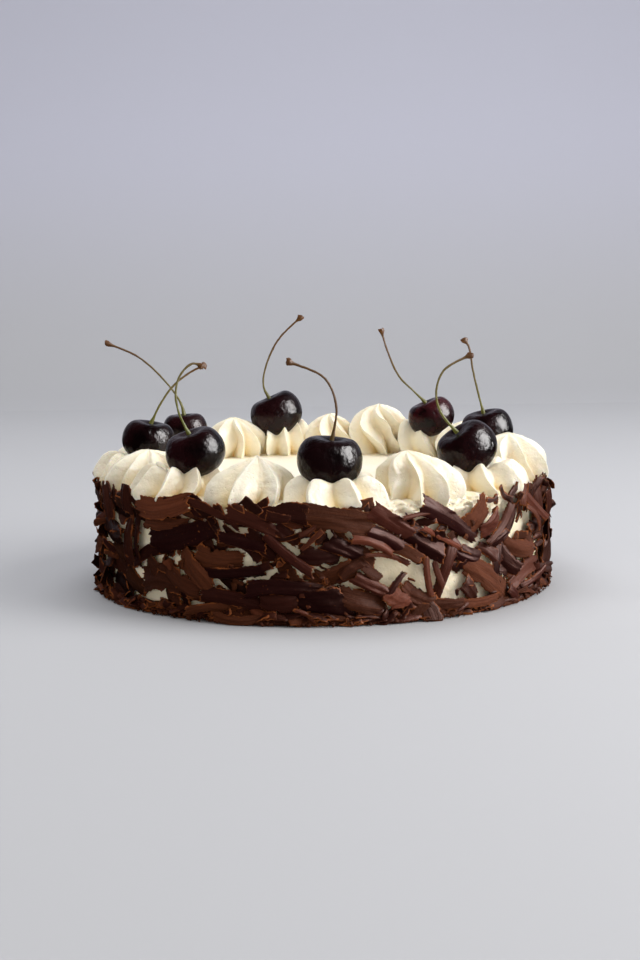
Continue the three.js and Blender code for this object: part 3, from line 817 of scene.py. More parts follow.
def fill(count, tries, highest, lengths, widths, outs, lifts, kick, painted_light_and_tone):
    """Adds shavings of a size, each at the barest of a few random places."""
    added = []
    for _ in range(count):
        best = min((somewhere(highest, lengths, widths) for _ in range(tries)), key=covered)
        ease = 0.55 if CALM_FRONT[0] < best["angle"] < CALM_FRONT[1] else 1.3
        best.update(
            out=pick(*outs) * ease, lift=pick(*lifts) * ease, kick=pick(-kick, kick) * ease,
            bow=pick(0.2, 0.07 * best["length"]), roll=pick(0.1, 0.9), twist=pick(-0.3, 0.3),
            skew=pick(-0.5, 0.5), taper=pick(-0.5, 0.5), thick=pick(0.5, 0.9),
            **any_finish())
        # painted shade: pieces laid underneath are painted darker
        best["pale"] += painted_light_and_tone
        cover[under(best)] += 1
        added.append(best)
    return added


for angle, height, half_angle, half_height in BARE_PATCHES:
    along, up = offsets(angle, height)
    half_along = half_angle / 360 * GIRTH
    cover[(along / half_along) ** 2 + (up / half_height) ** 2 < 1] += BARE
for s in front + wall:
    cover[under(s)] += 1
# count, tries, highest place, lengths, widths, how far out, lifts, largest kick, painted shade
lower = fill(96, 14, 43, (15, 26), (6, 11), (0.0, 0.5), (-5, 8), 4, -1.3)
middling = fill(100, 12, 47, (12, 21), (4.5, 8.5), (0.3, 2.1), (-24, 34), 26, -0.5)
small = fill(300, 12, 50, (5, 12), (2.4, 5.2), (0.3, 2.6), (-34, 44), 40, -0.4)
print("side still bare:", round(float((cover == 0).mean()), 3))

# %% [markdown]
# The foot of the side collects what fell off: slivers that lie against it and on the plate.
# Chips are the smallest pieces, stuck everywhere.

# %% Slivers at the foot and chips
SLIVERS = 420
CHIPS = 520


def sliver():
    return shaving(
        pick(0, 360), pick(0.6, 5.2), pick(-32, 32), pick(4, 12), pick(1.6, 4.4),
        out=pick(0.4, 3.8), lift=pick(0, 80), kick=pick(-25, 25), bow=pick(0.1, 1.0),
        roll=pick(0.1, 0.8), twist=pick(-0.4, 0.4), taper=pick(-0.5, 0.5),
        thick=pick(0.5, 0.8), **any_finish())


def chip():
    return shaving(
        pick(0, 360), 48 * chance.random() ** 2.4 + 0.5, pick(-90, 90), pick(2, 5), pick(1.2, 3),
        out=pick(1.0, 3.2), lift=pick(-30, 50), kick=pick(-30, 30), bow=pick(0, 0.4),
        roll=pick(0.1, 0.9), taper=pick(-0.6, 0.6), thick=pick(0.35, 0.7),
        **any_finish())


slivers = [sliver() for _ in range(SLIVERS)]
chips = [chip() for _ in range(CHIPS)]
print("slivers and chips:", len(slivers), len(chips))

# %% [markdown]
# The rule itself. `u`, `v` and `w` run from -1 to 1 along the slab's length, width and
# thickness. Rolling bends the width to an arc, bowing bends the length, and noise along each
# edge tears it. At the end every point is kept outside the coat, above the table and below
# the rosettes, so a shaving that meets them bends round instead of cutting in.

# %% Geometry Nodes: the shaving rule
SHAVINGS_TOP = 54.5
WALL = CAKE_RADIUS - 0.1
RIM_WALL = 107.3  # beside the rosettes shavings stay outside this radius in front and behind
SIDE_RIM_WALL = 105.0  # and outside this one at the sides
RIM_BAND = (42, 45)  # the heights between which the wall gives way to that rim


def kept_clear(laid, size, outer):
    """Keeps points outside the coat, above the table and below the rosettes."""
    x, y, z = position(laid).split()
    reach = (x * x + y * y).math("SQRT")
    in_front = (y / reach) ** 2.0
    rim_reach = size["Side rim radius"] * (1.0 - in_front) + size["Rim radius"] * in_front
    beside_rim = z.fade(RIM_BAND[0] * MM, RIM_BAND[1] * MM)
    limit = size["Wall radius"] + (rim_reach - size["Wall radius"]) * beside_rim
    scale = reach.math("SMOOTH_MAX", limit + outer, 0.0006) / reach
    z = z.math("SMOOTH_MAX", outer, 0.0004).math("MINIMUM", size["Roof"])
    return moved(laid, laid.join(x * scale, y * scale, z))


def shaving_rule():
    size = new_rule(
        "shavings", Int=("Along", "Across"),
        Float=("Tear", "Wall radius", "Rim radius", "Side rim radius", "Roof"))
    start = size["Geometry"]
    slab = start.node("GeometryNodeMeshCube", {}, {
        "Size": (2, 2, 2), "Vertices X": size["Along"], "Vertices Y": size["Across"],
        "Vertices Z": 2}, "Mesh")
    loose = scattered(start, store(slab, "spot", position(start)))

    u, v, w = named(start, "spot").split()
    length, width, thick = named(start, "sizes").split()
    bow, roll, twist = named(start, "bends").split()
    skew, taper, seed = named(start, "cut").split()
    pinch_left, pinch_right, sway = named(start, "form").split()
    end, edge = u.math("SIGN"), v.math("SIGN")
    torn_end = start.join(v * 4.4, seed * 97.0 + end * 3.1, seed * 41.0).noise(1.0, 5.0, 0.85)
    torn_edge = start.join(u * 3.6, seed * 53.0 + edge * 4.7, seed * 67.0).noise(1.0, 5.0, 0.82)
    tear = size["Tear"]
    half_width = width * 0.5
    reach = 1.0 + (torn_end - 0.5) * tear * 1.9 * abs(u) ** 3.0
    bite = start.join(u * 1.6, seed * 29.0 + edge * 5.3, seed * 83.0).noise(1.0, 2.0)
    bite = bite.fade(0.56, 0.7)
    ragged = (torn_edge - 0.5) * tear * 1.6 * abs(v) ** 3.0 - bite * tear * 0.8 * v * v
    spread = (1.0 + ragged) * (1.0 + taper * u)
    pinch_left = pinch_left * (-u).math("MAXIMUM", 0.0) ** 2.5
    pinch_right = pinch_right * u.math("MAXIMUM", 0.0) ** 2.5
    spread = spread * (1.0 - (pinch_left + pinch_right) * 0.85)
    across = v * spread
    turn = roll * across
    bend = half_width / roll
    splinter = start.join(u * 11.0, v * 9.0, seed * 71.0).noise(1.0, 2.0, 0.9) - 0.5
    y = bend * turn.math("SINE") + sway * length * (u * u - 0.4)
    y = y + splinter * edge * abs(v) ** 8.0 * 0.0016
    rolled = bend * (turn.math("COSINE") - 1.0) + bend * 0.5 * (1.0 - roll.math("COSINE"))
    x = length * 0.5 * u * reach + skew * y + splinter * end * abs(u) ** 12.0 * 0.002
    wave = start.join(u * 0.35, v * 1.3, seed * 61.0).noise(1.0, 1.0) - 0.5
    rim = abs(u).math("MAXIMUM", abs(v))
    body = w * thick * 0.5 * (1.0 - rim ** 6.0 * 0.5)
    fold = start.join(u * 1.3 + v * 0.5, v * 0.6, seed * 43.0).noise(1.0, 1.0) - 0.5
    relief = (wave * 0.28 + fold * 0.12) * width
    z = rolled + bow * (0.5 - u * u) + twist * u * v * half_width + relief + body

    along, outward = named(start, "along"), named(start, "outward")
    up = outward.vector("CROSS_PRODUCT", along)
    place = named(start, "place").vector("ADD", along.times(x))
    place = place.vector("ADD", up.times(y)).vector("ADD", outward.times(z))
    laid = kept_clear(moved(loose, place), size, (w + 1.0) * 0.5 * thick)
    inward = ((1.0 - abs(u)) * length).math("MINIMUM", (1.0 - abs(v)) * width) * 0.5
    laid = store(laid, "inward", inward, "FLOAT")
    broad_face = abs(w).math("GREATER_THAN", 0.99)
    return end_rule(smoothed(laid, broad_face), chocolate)


shavings = shaving_rule()


# %% Lay the shavings
def pose_of(s):
    """The directions of a shaving's length and of its outer face."""
    turn = Matrix.Rotation(radians(s["angle"] + 90), 3, "Z") @ Matrix.Rotation(pi / 2, 3, "X")
    turn = turn @ Matrix.Rotation(radians(s["tilt"]), 3, "Z")
    turn = turn @ Matrix.Rotation(radians(-s["lift"]), 3, "X")
    turn = turn @ Matrix.Rotation(radians(s["kick"]), 3, "Y")
    return turn.col[0], turn.col[2]


def lay(name, kind, along, across, tear):
    """One piece with all shavings of a kind."""
    mesh = bpy.data.meshes.new(name)
    places = [polar(CAKE_RADIUS + s["out"], s["angle"], s["height"]) * MM for s in kind]
    mesh.from_pydata(places, [], [])
    poses = [pose_of(s) for s in kind]
    columns = {
        "place": places,
        "along": [pose[0] for pose in poses],
        "outward": [pose[1] for pose in poses],
        "sizes": [(s["length"] * MM, s["width"] * MM, s["thick"] * MM) for s in kind],
        "bends": [(s["bow"] * MM, max(0.05, s["roll"]), s["twist"]) for s in kind],
        "cut": [(s["skew"], s["taper"], s["seed"]) for s in kind],
        "look": [(s["dull"], s["pale"], s["red"]) for s in kind],
        "form": [(*s["pinch"], s["sway"]) for s in kind],
    }
    for label, values in columns.items():
        paint(mesh, label, values, "FLOAT_VECTOR", "vector")
    piece = grow(name, shavings, {
        "Along": along, "Across": across, "Tear": tear, **metres({
            "Wall radius": WALL, "Rim radius": RIM_WALL, "Side rim radius": SIDE_RIM_WALL,
            "Roof": SHAVINGS_TOP})}, mesh)
    for label in ("place", "along", "outward", "sizes", "bends", "form"):
        piece.data.attributes.remove(piece.data.attributes[label])
    dress(piece, "cake")


def sorted_by_roll(kind):
    """The flat ones and the rolled ones of a kind."""
    return [s for s in kind if s["roll"] < ROLLED], [s for s in kind if s["roll"] >= ROLLED]


front_flat, front_rolled = sorted_by_roll(front)
flat, rolled = sorted_by_roll(wall + lower)
for name, kind, along, across, tear in (
        ("front_flat", front_flat, 60, 24, 0.42), ("front_rolled", front_rolled, 52, 17, 0.36),
        ("flat", flat, 38, 16, 0.42), ("rolled", rolled, 40, 14, 0.36),
        ("foot", foot, 24, 9, 0.6), ("middling", middling, 24, 10, 0.5),
        ("small", small, 8, 5, 0.7), ("slivers", slivers, 8, 4, 0.7),
        ("chips", chips, 5, 3, 0.8)):
    lay("shavings_" + name, kind, along, across, tear)

# %% [markdown]
# ## Crumbs
#
# Crumbs gather in the corner between the side and the plate. They are scattered by a rule of
# their own: points at random angles, piled highest against the side, each with a small lump
# of twenty faces that noise makes uneven.

# %% Geometry Nodes: crumbs
CRUMBS = 2600


def crumb_rule():
    size = new_rule(
        "crumbs", Int=("Count", "Seed"),
        Float=("Inner radius", "Spread", "Pile", "Smallest", "Largest"))
    start = size["Geometry"]

    def random_value(low, high, salt):
        sockets = {2: low, 3: high, 8: size["Seed"] + salt}
        return start.node("FunctionNodeRandomValue", {"data_type": "FLOAT"}, sockets, 1)

    def random_vector(low, high, seed):
        sockets = {0: low, 1: high, 8: seed}
        return start.node("FunctionNodeRandomValue", {"data_type": "FLOAT_VECTOR"}, sockets)

    turn = random_value(0.0, 2 * pi, 1)
    out = random_value(0.0, 1.0, 2) ** 1.7
    reach = size["Inner radius"] + size["Spread"] * out
    share = random_value(0.0, 1.0, 3) ** 3.0
    big = size["Smallest"] + (size["Largest"] - size["Smallest"]) * share
    height = big * 0.6 + size["Pile"] * (1.0 - out) * random_value(0.0, 1.0, 4)
    place = start.join(reach * turn.math("COSINE"), reach * turn.math("SINE"), height)
    spots = start.node("GeometryNodePoints", {}, {"Count": size["Count"], "Position": place})
    lump = start.node(
        "GeometryNodeMeshIcoSphere", {}, {"Radius": 1.0, "Subdivisions": 1}, "Mesh")
    lump = store(lump, "spot", position(start).times(0.8))
    spin = random_vector((0, 0, 0), (6.3, 6.3, 6.3), size["Seed"])
    shape = random_vector((0.5, 0.5, 0.3), (1.3, 1.0, 0.6), size["Seed"] + 9)
    loose = scattered(spots, lump, Rotation=spin, Scale=shape.times(big))
    here = position(start)
    x, y, z = here.vector("ADD", here.jolt(900.0, 1.0, 0.0009)).split()
    loose = moved(loose, start.join(x, y, z.math("MAXIMUM", 0.0)))
    pale = here.noise(300.0, 1.0) * 2.0 - 1.1
    red = here.noise(200.0, 1.0).fade(0.45, 0.7)
    loose = store(loose, "look", start.join(0.8, pale, red))
    loose = store(loose, "inward", here.noise(700.0, 1.0) * 0.0012, "FLOAT")
    return end_rule(loose, chocolate)


crumbs = grow("crumbs", crumb_rule(), {"Count": CRUMBS, "Seed": 5, **metres({
    "Inner radius": CAKE_RADIUS + 0.4, "Spread": 4.4, "Pile": 3.2, "Smallest": 0.35,
    "Largest": 1.5})})
dress(crumbs, "cake")

# %% [markdown]
# ## The rosettes
#
# A rosette is what a star nozzle leaves when it turns once and lifts: lobes that swirl as they
# rise, six to ten of them here. Sculpting seventeen by hand would take a day, so a rule does it.
# A flat grid is wrapped into a turned shape, its radius dips between the lobes, and the whole
# turns as it climbs. Crests are sharp and thin, and the hollows between them are broad. A
# rosette meets its neighbours along two upright planes, and the cream gives way where a cherry
# presses in.

# %% Tables: rosettes and cherries
RING_RADIUS = 85.0  # of the circle that the rosettes stand on
ROPE = 0.05  # how far the crest's thin rope stands up, as a share of the radius
ROSETTE_DROOP = 10.0  # how far below the top the cream of a rosette reaches
ROSETTE_WALL = 106.6  # down at the shavings rosettes stay inside this radius

# angle, radius, rise, lobes, ridge, swirl, nest, lean, dome, crease, groove, fold at, fold by
ROSETTES = [
    (15, 17, 13, 8, 10, 22, True, 0, 0.5, 0.3, 0.32, 200, 0),
    (32, 16, 19, 8, 30, 34, False, 0, 0.8, 0.3, 0.36, 230, 8),
    (51, 16.5, 18, 7, 16, 20, True, 0, 0.6, 0.35, 0.32, 190, 0),
    (69, 17.5, 25, 9, 36, 70, False, 0, 0.9, 0.3, 0.48, 265, 18),
    (87, 15.5, 20, 8, 8, 50, False, 0, 0.8, 0.65, 0.46, 300, 8),
    (104, 16.5, 17.5, 10, 32, 10, True, 0, 0.3, 0.4, 0.36, 250, 0),
    (122, 17, 20, 9, 12, 24, False, 0, 0.75, 0.7, 0.46, 270, 12),
    (145, 17, 12, 8, 30, 28, True, 0, 0.5, 0.4, 0.32, 300, 0),
    (164, 17.5, 18, 8, 5, 30, False, 0, 0.8, 0.75, 0.36, 260, 8),
    (183, 20, 12.5, 9, 20, 0, True, 0, 0.7, 0.85, 0.46, 250, 0),
    (203, 18.5, 16, 10, 26, -5, False, 0, 0.9, 0.86, 0.46, 300, 0),
    (223.5, 20, 13, 9, 10, -10, True, 0, 0.7, 0.74, 0.42, 280, 0),
    (249.5, 19, 18, 6, 5.5, 0, False, 2.5, 0.45, 0.8, 0.34, 300, 0),
    (273.5, 21.5, 10.5, 7, 38.3, 6, True, 0, 0.6, 0.5, 0.38, 285, 0),
    (299.5, 18.6, 18.5, 9, 25, 0, False, -5.5, 0.85, 0.2, 0.36, 243, 22),
    (324, 20.5, 11.5, 8, 12, 12, True, 0, 0.7, 0.25, 0.40, 280, 0),
    (349, 19.5, 19, 10, 16, 22, False, 4, 0.85, 0.2, 0.42, 270, 8),
]

# angle, reach, height, width, lean right, lean front, blush, stalk's green, stalk's offsets
CHERRIES = [
    (272.3, 84, 66, 27.8, 6, 5, 0.15, 0.2,
     [(1.5, -1, 7.2), (2.1, -2, 14.9), (-2.2, -2, 26.2), (-12.5, 0, 31.2), (-18.5, 1, 33.2)]),
    (227.9, 82, 67.8, 26.2, -17, 10, 0.3, 1.2,
     [(-4.1, -1, 9.2), (-5.4, -1, 18.5), (-3.2, 1, 26), (2.2, 3, 30.7), (6.6, 4, 28.8)]),
    (184, 81.6, 67.2, 24.6, 10, 4, 0.2, 0.9,
     [(3.3, 0, 6.7), (8.6, 1, 15), (13.8, 3, 20.2), (20, 5, 24.3), (26.2, 5, 26.9)]),
    (146.5, 82, 66.5, 22.4, -3, 0, 0.3, 0.8,
     [(-1.2, 1, 5.2), (-6.7, 3, 13.9), (-21.9, 5, 29.1), (-39.4, 6, 36.7)]),
    (106.5, 82, 70.8, 27.2, -24, 2, 0.25, 0.7,
     [(-3.1, 1, 6.4), (-2.1, 2, 15.4), (4.7, 3, 30.4), (17.8, 4, 42.7)]),
    (46.5, 82, 70, 23.6, -22, 2, 1.0, 0.8,
     [(-7, 0, 6.9), (-13.6, 2, 13.5), (-19.2, 4, 26.3), (-22.6, 4, 38)]),
    (14, 83, 67.2, 25.4, -12, 6, 0.3, 0.9,
     [(-2.9, -1, 10.7), (-5.6, -2, 22.3), (-7, -1, 32.2), (-9.7, 1, 36.2)]),
    (320.7, 83, 66.8, 27, -32, 14, 0.25, 1.1,
     [(-6.9, -1, 8.2), (-9.5, -2, 17.2), (-6.4, -1, 27.2), (2.1, 1, 32.2), (6.9, 2, 33.9)]),
]
CHERRY_DEPTH = 0.93  # this and the next three are shares of the cherry's width
CHERRY_HEIGHT = 0.82
DIMPLE_DEPTH = 0.11
SHOULDER_RISE = 0.06


def cherry_axis(right, front):
    return Vector((tan(radians(right)), -tan(radians(front)), 1)).normalized()


print("rosettes:", len(ROSETTES), "cherries:", len(CHERRIES))

# %% [markdown]
# The outline of a rosette is two curves over one number, `climb`, from the middle of its hidden
# base (0), out and up the side, to the middle of its top (1): one curve for the radius and one
# for the height. Below the cake's top the height is a share of the droop over the rim.

# %% Outlines of rosettes
CONE_OUTLINE = [
    (0.0, -1.0), (0.5, -0.98), (0.74, -0.6), (0.88, -0.1), (0.94, 0.12), (0.92, 0.3), (0.83, 0.44),
    (0.66, 0.58), (0.46, 0.7), (0.25, 0.82), (0.09, 0.93), (0.03, 0.98), (0, 1)]
DOME_OUTLINE = [
    (0.0, -1.0), (0.5, -0.98), (0.76, -0.6), (0.92, -0.1), (1.0, 0.12), (1.02, 0.32), (0.97, 0.5),
    (0.86, 0.66), (0.69, 0.8), (0.47, 0.91), (0.24, 0.97), (0.08, 0.995), (0, 1)]
OPEN_NEST_OUTLINE = [
    (0.0, -1.0), (0.55, -0.98), (0.8, -0.7), (0.93, -0.3), (1.01, 0.04), (1.0, 0.22), (0.93, 0.46),
    (0.84, 0.68), (0.74, 0.88), (0.63, 0.99), (0.53, 0.94), (0.42, 0.76), (0, 0.6)]
FULL_NEST_OUTLINE = [
    (0.0, -1.0), (0.55, -0.98), (0.82, -0.7), (0.96, -0.3), (1.05, 0.06), (1.04, 0.28),
    (0.99, 0.52), (0.9, 0.76), (0.79, 0.93), (0.67, 1.0), (0.56, 0.94), (0.43, 0.76), (0, 0.6)]
NEST_DIP = 0.24
ROSETTE_COLUMNS = 224
ROSETTE_TIERS = 64
CREST = 0.08  # roundness of crests and creases: 0 is a knife edge
PEAK_FACES = 0.5  # 0: hollow faces between sharp crests; 1: round faces between sharp creases
NEST_FACES = 0.62
CROWDING = 0.62  # how far columns crowd towards the crests
OVERHANG = (2.5, 5.5)  # how far the widest part slides out at the sides and in front, millimetres
OVERLAP_NEXT = 1.4  # how far neighbouring rosettes run into each other, millimetres
WIDENS_FROM = 48.0  # above this height rosettes may lean out over the shavings


def outline_curve(climb, stations, values, low, high):
    points = [(at, (value - low) / (high - low)) for at, value in zip(stations, values)]
    curve = climb.node("ShaderNodeFloatCurve", {"points": points}, {"Value": climb})
    return low + curve * (high - low)


def outline_of(climb, outlines, dome):
    """Radius and height along the climb, somewhere between two outlines."""
    middle = np.mean(outlines, axis=0)
    steps = [0.0] + [hypot(b[0] - a[0], (b[1] - a[1]) * 0.9) for a, b in zip(middle, middle[1:])]
    steps[1] *= 0.12  # the hidden base needs few faces
    stations = np.cumsum(steps) / sum(steps)

    def blended(item, low, high):
        first, second = [
            outline_curve(climb, stations, [row[item] for row in outline], low, high)
            for outline in outlines]
        return first + (second - first) * dome

    return blended(0, -0.1, 1.2), blended(1, -1.1, 1.1)


print("outlines:", len(CONE_OUTLINE), "points each")

# %% [markdown]
# Round the rosette, `star_lobes` says how deep in the valley between two crests a point lies.
# Two more steps keep the cream on its own side of its neighbours, and press the cherry in.

# %% Geometry Nodes: lobes, neighbours and cherry
def star_lobes(turn, size, faces):
    """The valley between sharp crests, the same valley softly, and the rope on a crest."""
    phase = turn * size["Lobes"]
    share = (phase / (2 * pi)).math("FRACT")
    falling = (share / size["Crease"]).math("MINIMUM", 1.0)
    rising = ((share - size["Crease"]) / (1.0 - size["Crease"])).math("MAXIMUM", 0.0)
    leant = (falling + rising) * (pi / 2)
    wave = leant.math("SINE")
    hollow, full = [
        ((w * w + CREST**2).math("SQRT") - CREST) / (sqrt(1 + CREST**2) - CREST)
        for w in (wave, leant.math("COSINE"))]
    valley = hollow * (1.0 - faces) + (1.0 - full) * faces
    return valley, (1.0 - phase.math("COSINE")) * 0.5, wave.bell(0.0, 0.17)


def kept_in_place(mound, size):
    """Keeps the cream on its side of both neighbours and inside the shavings."""
    here = position(mound)
    for side in ("Next side", "Last side"):
        gap = here.dot(size[side])
        push = gap.math("SMOOTH_MAX", -OVERLAP_NEXT * MM, 0.002) - gap
        here = here.vector("ADD", size[side].times(push))
    x, y, z = here.split()
    reach = (x * x + y * y).math("SQRT")
    limit = size["Rim radius"] + (z - WIDENS_FROM * MM).math("MAXIMUM", 0.0) * 0.7
    scale = reach.math("SMOOTH_MIN", limit, 0.005) / reach
    return moved(mound, here.join(x * scale, y * scale, z))


def pressed(mound, size):
    """The cream gives way round the cherry, and its skin is made uneven."""
    apart = position(mound).vector("SUBTRACT", size["Cherry"])
    along = apart.dot(size["Cherry axis"])
    square = apart.dot(apart) - along * along
    wide = size["Cherry width"] * 0.485
    tall = size["Cherry width"] * (CHERRY_HEIGHT / 2)
    distance = (square / (wide * wide) + along * along / (tall * tall)).math("SQRT")
    swell = distance.math("SMOOTH_MAX", 1.0, 0.1) / distance
    here = size["Cherry"].vector("ADD", apart.times(swell))
    soft, torn = here.jolt(110.0, 2.0, 0.0020), here.jolt(600.0, 2.0, 0.00036)
    return moved(mound, here.vector("ADD", soft).vector("ADD", torn))


# %% Geometry Nodes: the rosette rule
def rosette_rule(name, outlines, dip, faces, softness):
    size = new_rule(
        name, Vector=("Centre", "Next side", "Last side", "Cherry", "Cherry axis"),
        Float=("Bearing", "Radius", "Rise", "Droop", "Lobes", "Dome", "Crease", "Fold at",
               "Fold by", "Ridge", "Swirl", "Lean", "Groove", "Overhang", "Cherry width",
               "Rim radius", "Seed"))
    start = size["Geometry"]
    grid = start.node("GeometryNodeMeshGrid", {}, {
        "Size X": 1.0, "Size Y": 1.0, "Vertices X": ROSETTE_COLUMNS + 1,
        "Vertices Y": ROSETTE_TIERS + 1}, "Mesh")
    across, climb, _ = position(start).split()
    turn = (across + 0.5) * (2 * pi)
    turn = turn - (turn * size["Lobes"]).math("SINE") * CROWDING / size["Lobes"]
    radius, height = outline_of(climb + 0.5, outlines, size["Dome"])
    above, below = height.math("MAXIMUM", 0.0), height.math("MINIMUM", 0.0)
    valley, smooth, rope = star_lobes(turn, size, faces)
    valley = valley + (smooth - valley) * above * softness

    around = start.join(turn.math("COSINE"), turn.math("SINE"), size["Seed"])
    uneven = around.noise(1.6, 2.0) - 0.5
    reach = radius * size["Radius"] * (1.0 + uneven * 0.14)
    depth = size["Groove"] * (1.0 - 0.2 * above + 0.8 * below)
    reach = reach * (1.0 - depth * valley + ROPE * rope)
    way = turn + size["Ridge"] - size["Swirl"] * (above + uneven * 0.2)
    off = (way - size["Fold at"]).math("WRAP", pi, -pi)
    fold = off.bell(0.0, 0.3) * (above * pi).math("SINE")
    pocket = off.bell(-0.24, 0.17) * above.bell(0.5, 0.22)
    way = way + fold * size["Fold by"]
    reach = reach * (1.0 - pocket * abs(size["Fold by"]) * 0.7)
    rise = above * size["Rise"] + below * size["Droop"]
    rise = rise * (1.0 + uneven * 0.1) - dip * smooth * above * size["Rise"]
    lean = size["Lean"] * above * above
    slide = size["Overhang"] * height.bell(-0.15, 0.42)
    bearing = size["Bearing"]
    place = start.join(
        reach * way.math("COSINE") + lean + slide * bearing.math("COSINE"),
        reach * way.math("SINE") + slide * bearing.math("SINE"), rise)
    # painted shade: the groove attribute paints the cream deeper and yellower down in the valleys,
    # less so near the top
    grid = store(grid, "groove", valley * (1.0 - above * 0.4), "FLOAT")
    mound = moved(grid, place.vector("ADD", size["Centre"]))
    mound = pressed(kept_in_place(mound, size), size)
    mound = start.node(
        "GeometryNodeMergeByDistance", {}, {"Geometry": mound, "Distance": 0.00001})
    return end_rule(smoothed(mound), cream)


peak_rule = rosette_rule("peaked rosette", (CONE_OUTLINE, DOME_OUTLINE), 0.0, PEAK_FACES, 0.5)
nest_rule = rosette_rule(
    "nest rosette", (OPEN_NEST_OUTLINE, FULL_NEST_OUTLINE), NEST_DIP, NEST_FACES, 0.85)


# %% Pipe the rosettes
def side_of(here, other):
    """The angle where two neighbours meet, nearer the smaller one."""
    apart = (other[0] - here[0] + 180) % 360 - 180
    return here[0] + apart * here[1] / (here[1] + other[1])


def nearest_cherry(angle):
    return min(CHERRIES, key=lambda c: abs((c[0] - angle + 180) % 360 - 180))


for i, rosette in enumerate(ROSETTES):
    angle, radius, rise, lobes, ridge, swirl, nest, lean, dome, crease, groove, *fold = rosette
    ahead = radians(side_of(rosette, ROSETTES[(i + 1) % len(ROSETTES)]))
    behind = radians(side_of(rosette, ROSETTES[i - 1]))
    fruit = nearest_cherry(angle)
    overhang = between(*OVERHANG, abs(sin(radians(angle))))
    overhang *= 1 - 0.7 * bell(angle, *ROUGH_RIM)
    lengths = {
        "Radius": radius, "Rise": rise, "Droop": ROSETTE_DROOP, "Lean": lean,
        "Overhang": overhang, "Cherry width": fruit[3] + 0.7, "Rim radius": ROSETTE_WALL,
        "Centre": polar(RING_RADIUS, angle, CAKE_TOP), "Cherry": polar(*fruit[:3])}
    angles = {
        "Bearing": angle, "Fold at": fold[0], "Fold by": fold[1], "Ridge": ridge,
        "Swirl": swirl}
    name = f"rosette_{i + 1:02d}"
    piece = grow("piped_" + name, nest_rule if nest else peak_rule, {
        **metres(lengths), **{label: radians(turn) for label, turn in angles.items()},
        "Lobes": float(lobes), "Dome": float(dome), "Crease": crease, "Groove": groove,
        "Next side": (sin(ahead), -cos(ahead), 0.0),
        "Last side": (-sin(behind), cos(behind), 0.0),
        "Cherry axis": cherry_axis(*fruit[4:6]), "Seed": i * 3.7})
    dress(piece, name)

# %% [markdown]
# ## Cherries
#
# A cherry is a squat ball with a dimple for its stalk, two low shoulders and a seam down one
# side. It is turned from its outline like the coat, and then tipped and set in its nest.

# %% Model the cherries
CHERRY_COLUMNS = 96
CHERRY_TIERS = 72
CHERRY_FULLNESS = 0.84  # 1 is an ellipse; less is fuller towards both ends
SEAM_AT = 4.9  # where round the cherry its seam runs, in radians
SEAM_DEPTH = 0.012


def cherry_rows(width, seed):
    """Rows of points of an upright cherry about the origin, in millimetres."""
    rows = []
    for tier in np.linspace(0, pi, CHERRY_TIERS + 1):
        full = max(0.0, sin(tier)) ** CHERRY_FULLNESS
        row = []
        for turn in np.linspace(0, 2 * pi, CHERRY_COLUMNS, endpoint=False):
            x, y = width / 2 * full * cos(turn), width / 2 * full * sin(turn)
            z = -CHERRY_HEIGHT * width / 2 * cos(tier)
            if z > 0:
                shoulder = SHOULDER_RISE * (2 * x / width) ** 2 * bell(full, 0.7, 0.3)
                z += width * (shoulder - DIMPLE_DEPTH * bell(full, 0, 0.4))
            off = (turn - SEAM_AT + pi) % (2 * pi) - pi
            seam = SEAM_DEPTH * bell(off, 0, 0.09) * sin(tier) ** 0.5
            bumpy = noise.noise((x * 0.12 + seed, y * 0.12, z * 0.12)) * 0.02
            bumpy += noise.noise((x * 0.45 + seed, y * 0.45, z * 0.45)) * 0.004
            swell = 1 - seam + bumpy
            row.append((x * swell, y * CHERRY_DEPTH * swell, z * swell))
        rows.append(row)
    return np.array(rows)


for i, fruit in enumerate(CHERRIES):
    angle, reach, height, width, right, front_lean, blush = fruit[:7]
    tip = Vector((0, 0, 1)).rotation_difference(cherry_axis(right, front_lean)).to_matrix()
    rows = cherry_rows(width, i * 5.3) @ np.array(tip).T + np.array(polar(reach, angle, height))
    piece = ring_mesh(f"ripe_cherry_{i + 1}", rows * MM, cherry_skin)
    paint(piece.data, "blush", [blush] * len(piece.data.vertices))
    dress(piece, f"cherry_{i + 1}")

# %% [markdown]
# ## Stalks
#
# A stalk is a thin rod along a curve, thicker where it sits in the fruit and ending in a corky
# knob. Geometry Nodes sweep a circle along the curve, with a radius that follows the length.

# %% Geometry Nodes: the stalk rule
STALK_RADIUS = 0.5
STALK_FLARE = 0.5  # what the radius gains in the fruit
STALK_KNOB = 1.05  # what it gains at the end
STALK_SIDES = 12
GAP = 0.35  # the stalk starts twice this far clear of the fruit
SMOOTHING = 14  # how often the points of its path are evened out


def stalk_rule():
    size = new_rule("stalk", Int=("Sides",), Float=("Radius", "Flare", "Knob", "Green"))
    start = size["Geometry"]
    line = start.node("GeometryNodeMeshToCurve", {}, {"Mesh": start})
    share = start.node("GeometryNodeSplineParameter")
    flare = size["Flare"] * share.bell(0.0, 0.08)
    knob = size["Knob"] * share.bell(0.975, 0.035)
    uneven = 1.0 + (position(start).noise(260.0, 2.0) - 0.5) * 0.5
    radius = (size["Radius"] + flare + knob) * uneven
    line = store(line, "share", share, "FLOAT")
    circle = start.node(
        "GeometryNodeCurvePrimitiveCircle", {}, {"Resolution": size["Sides"], "Radius": 1.0})
    rod = start.node(
        "GeometryNodeCurveToMesh", {},
        {"Curve": line, "Profile Curve": circle, "Scale": radius, "Fill Caps": True})
    rod = store(rod, "green", size["Green"], "FLOAT")
    here = position(start)
    rough = 0.0004 + 0.0026 * named(start, "share", "FLOAT").fade(0.93, 0.98)
    rod = moved(rod, here.vector("ADD", here.jolt(500.0, 2.0, rough)))
    return end_rule(smoothed(rod), stalk_skin)


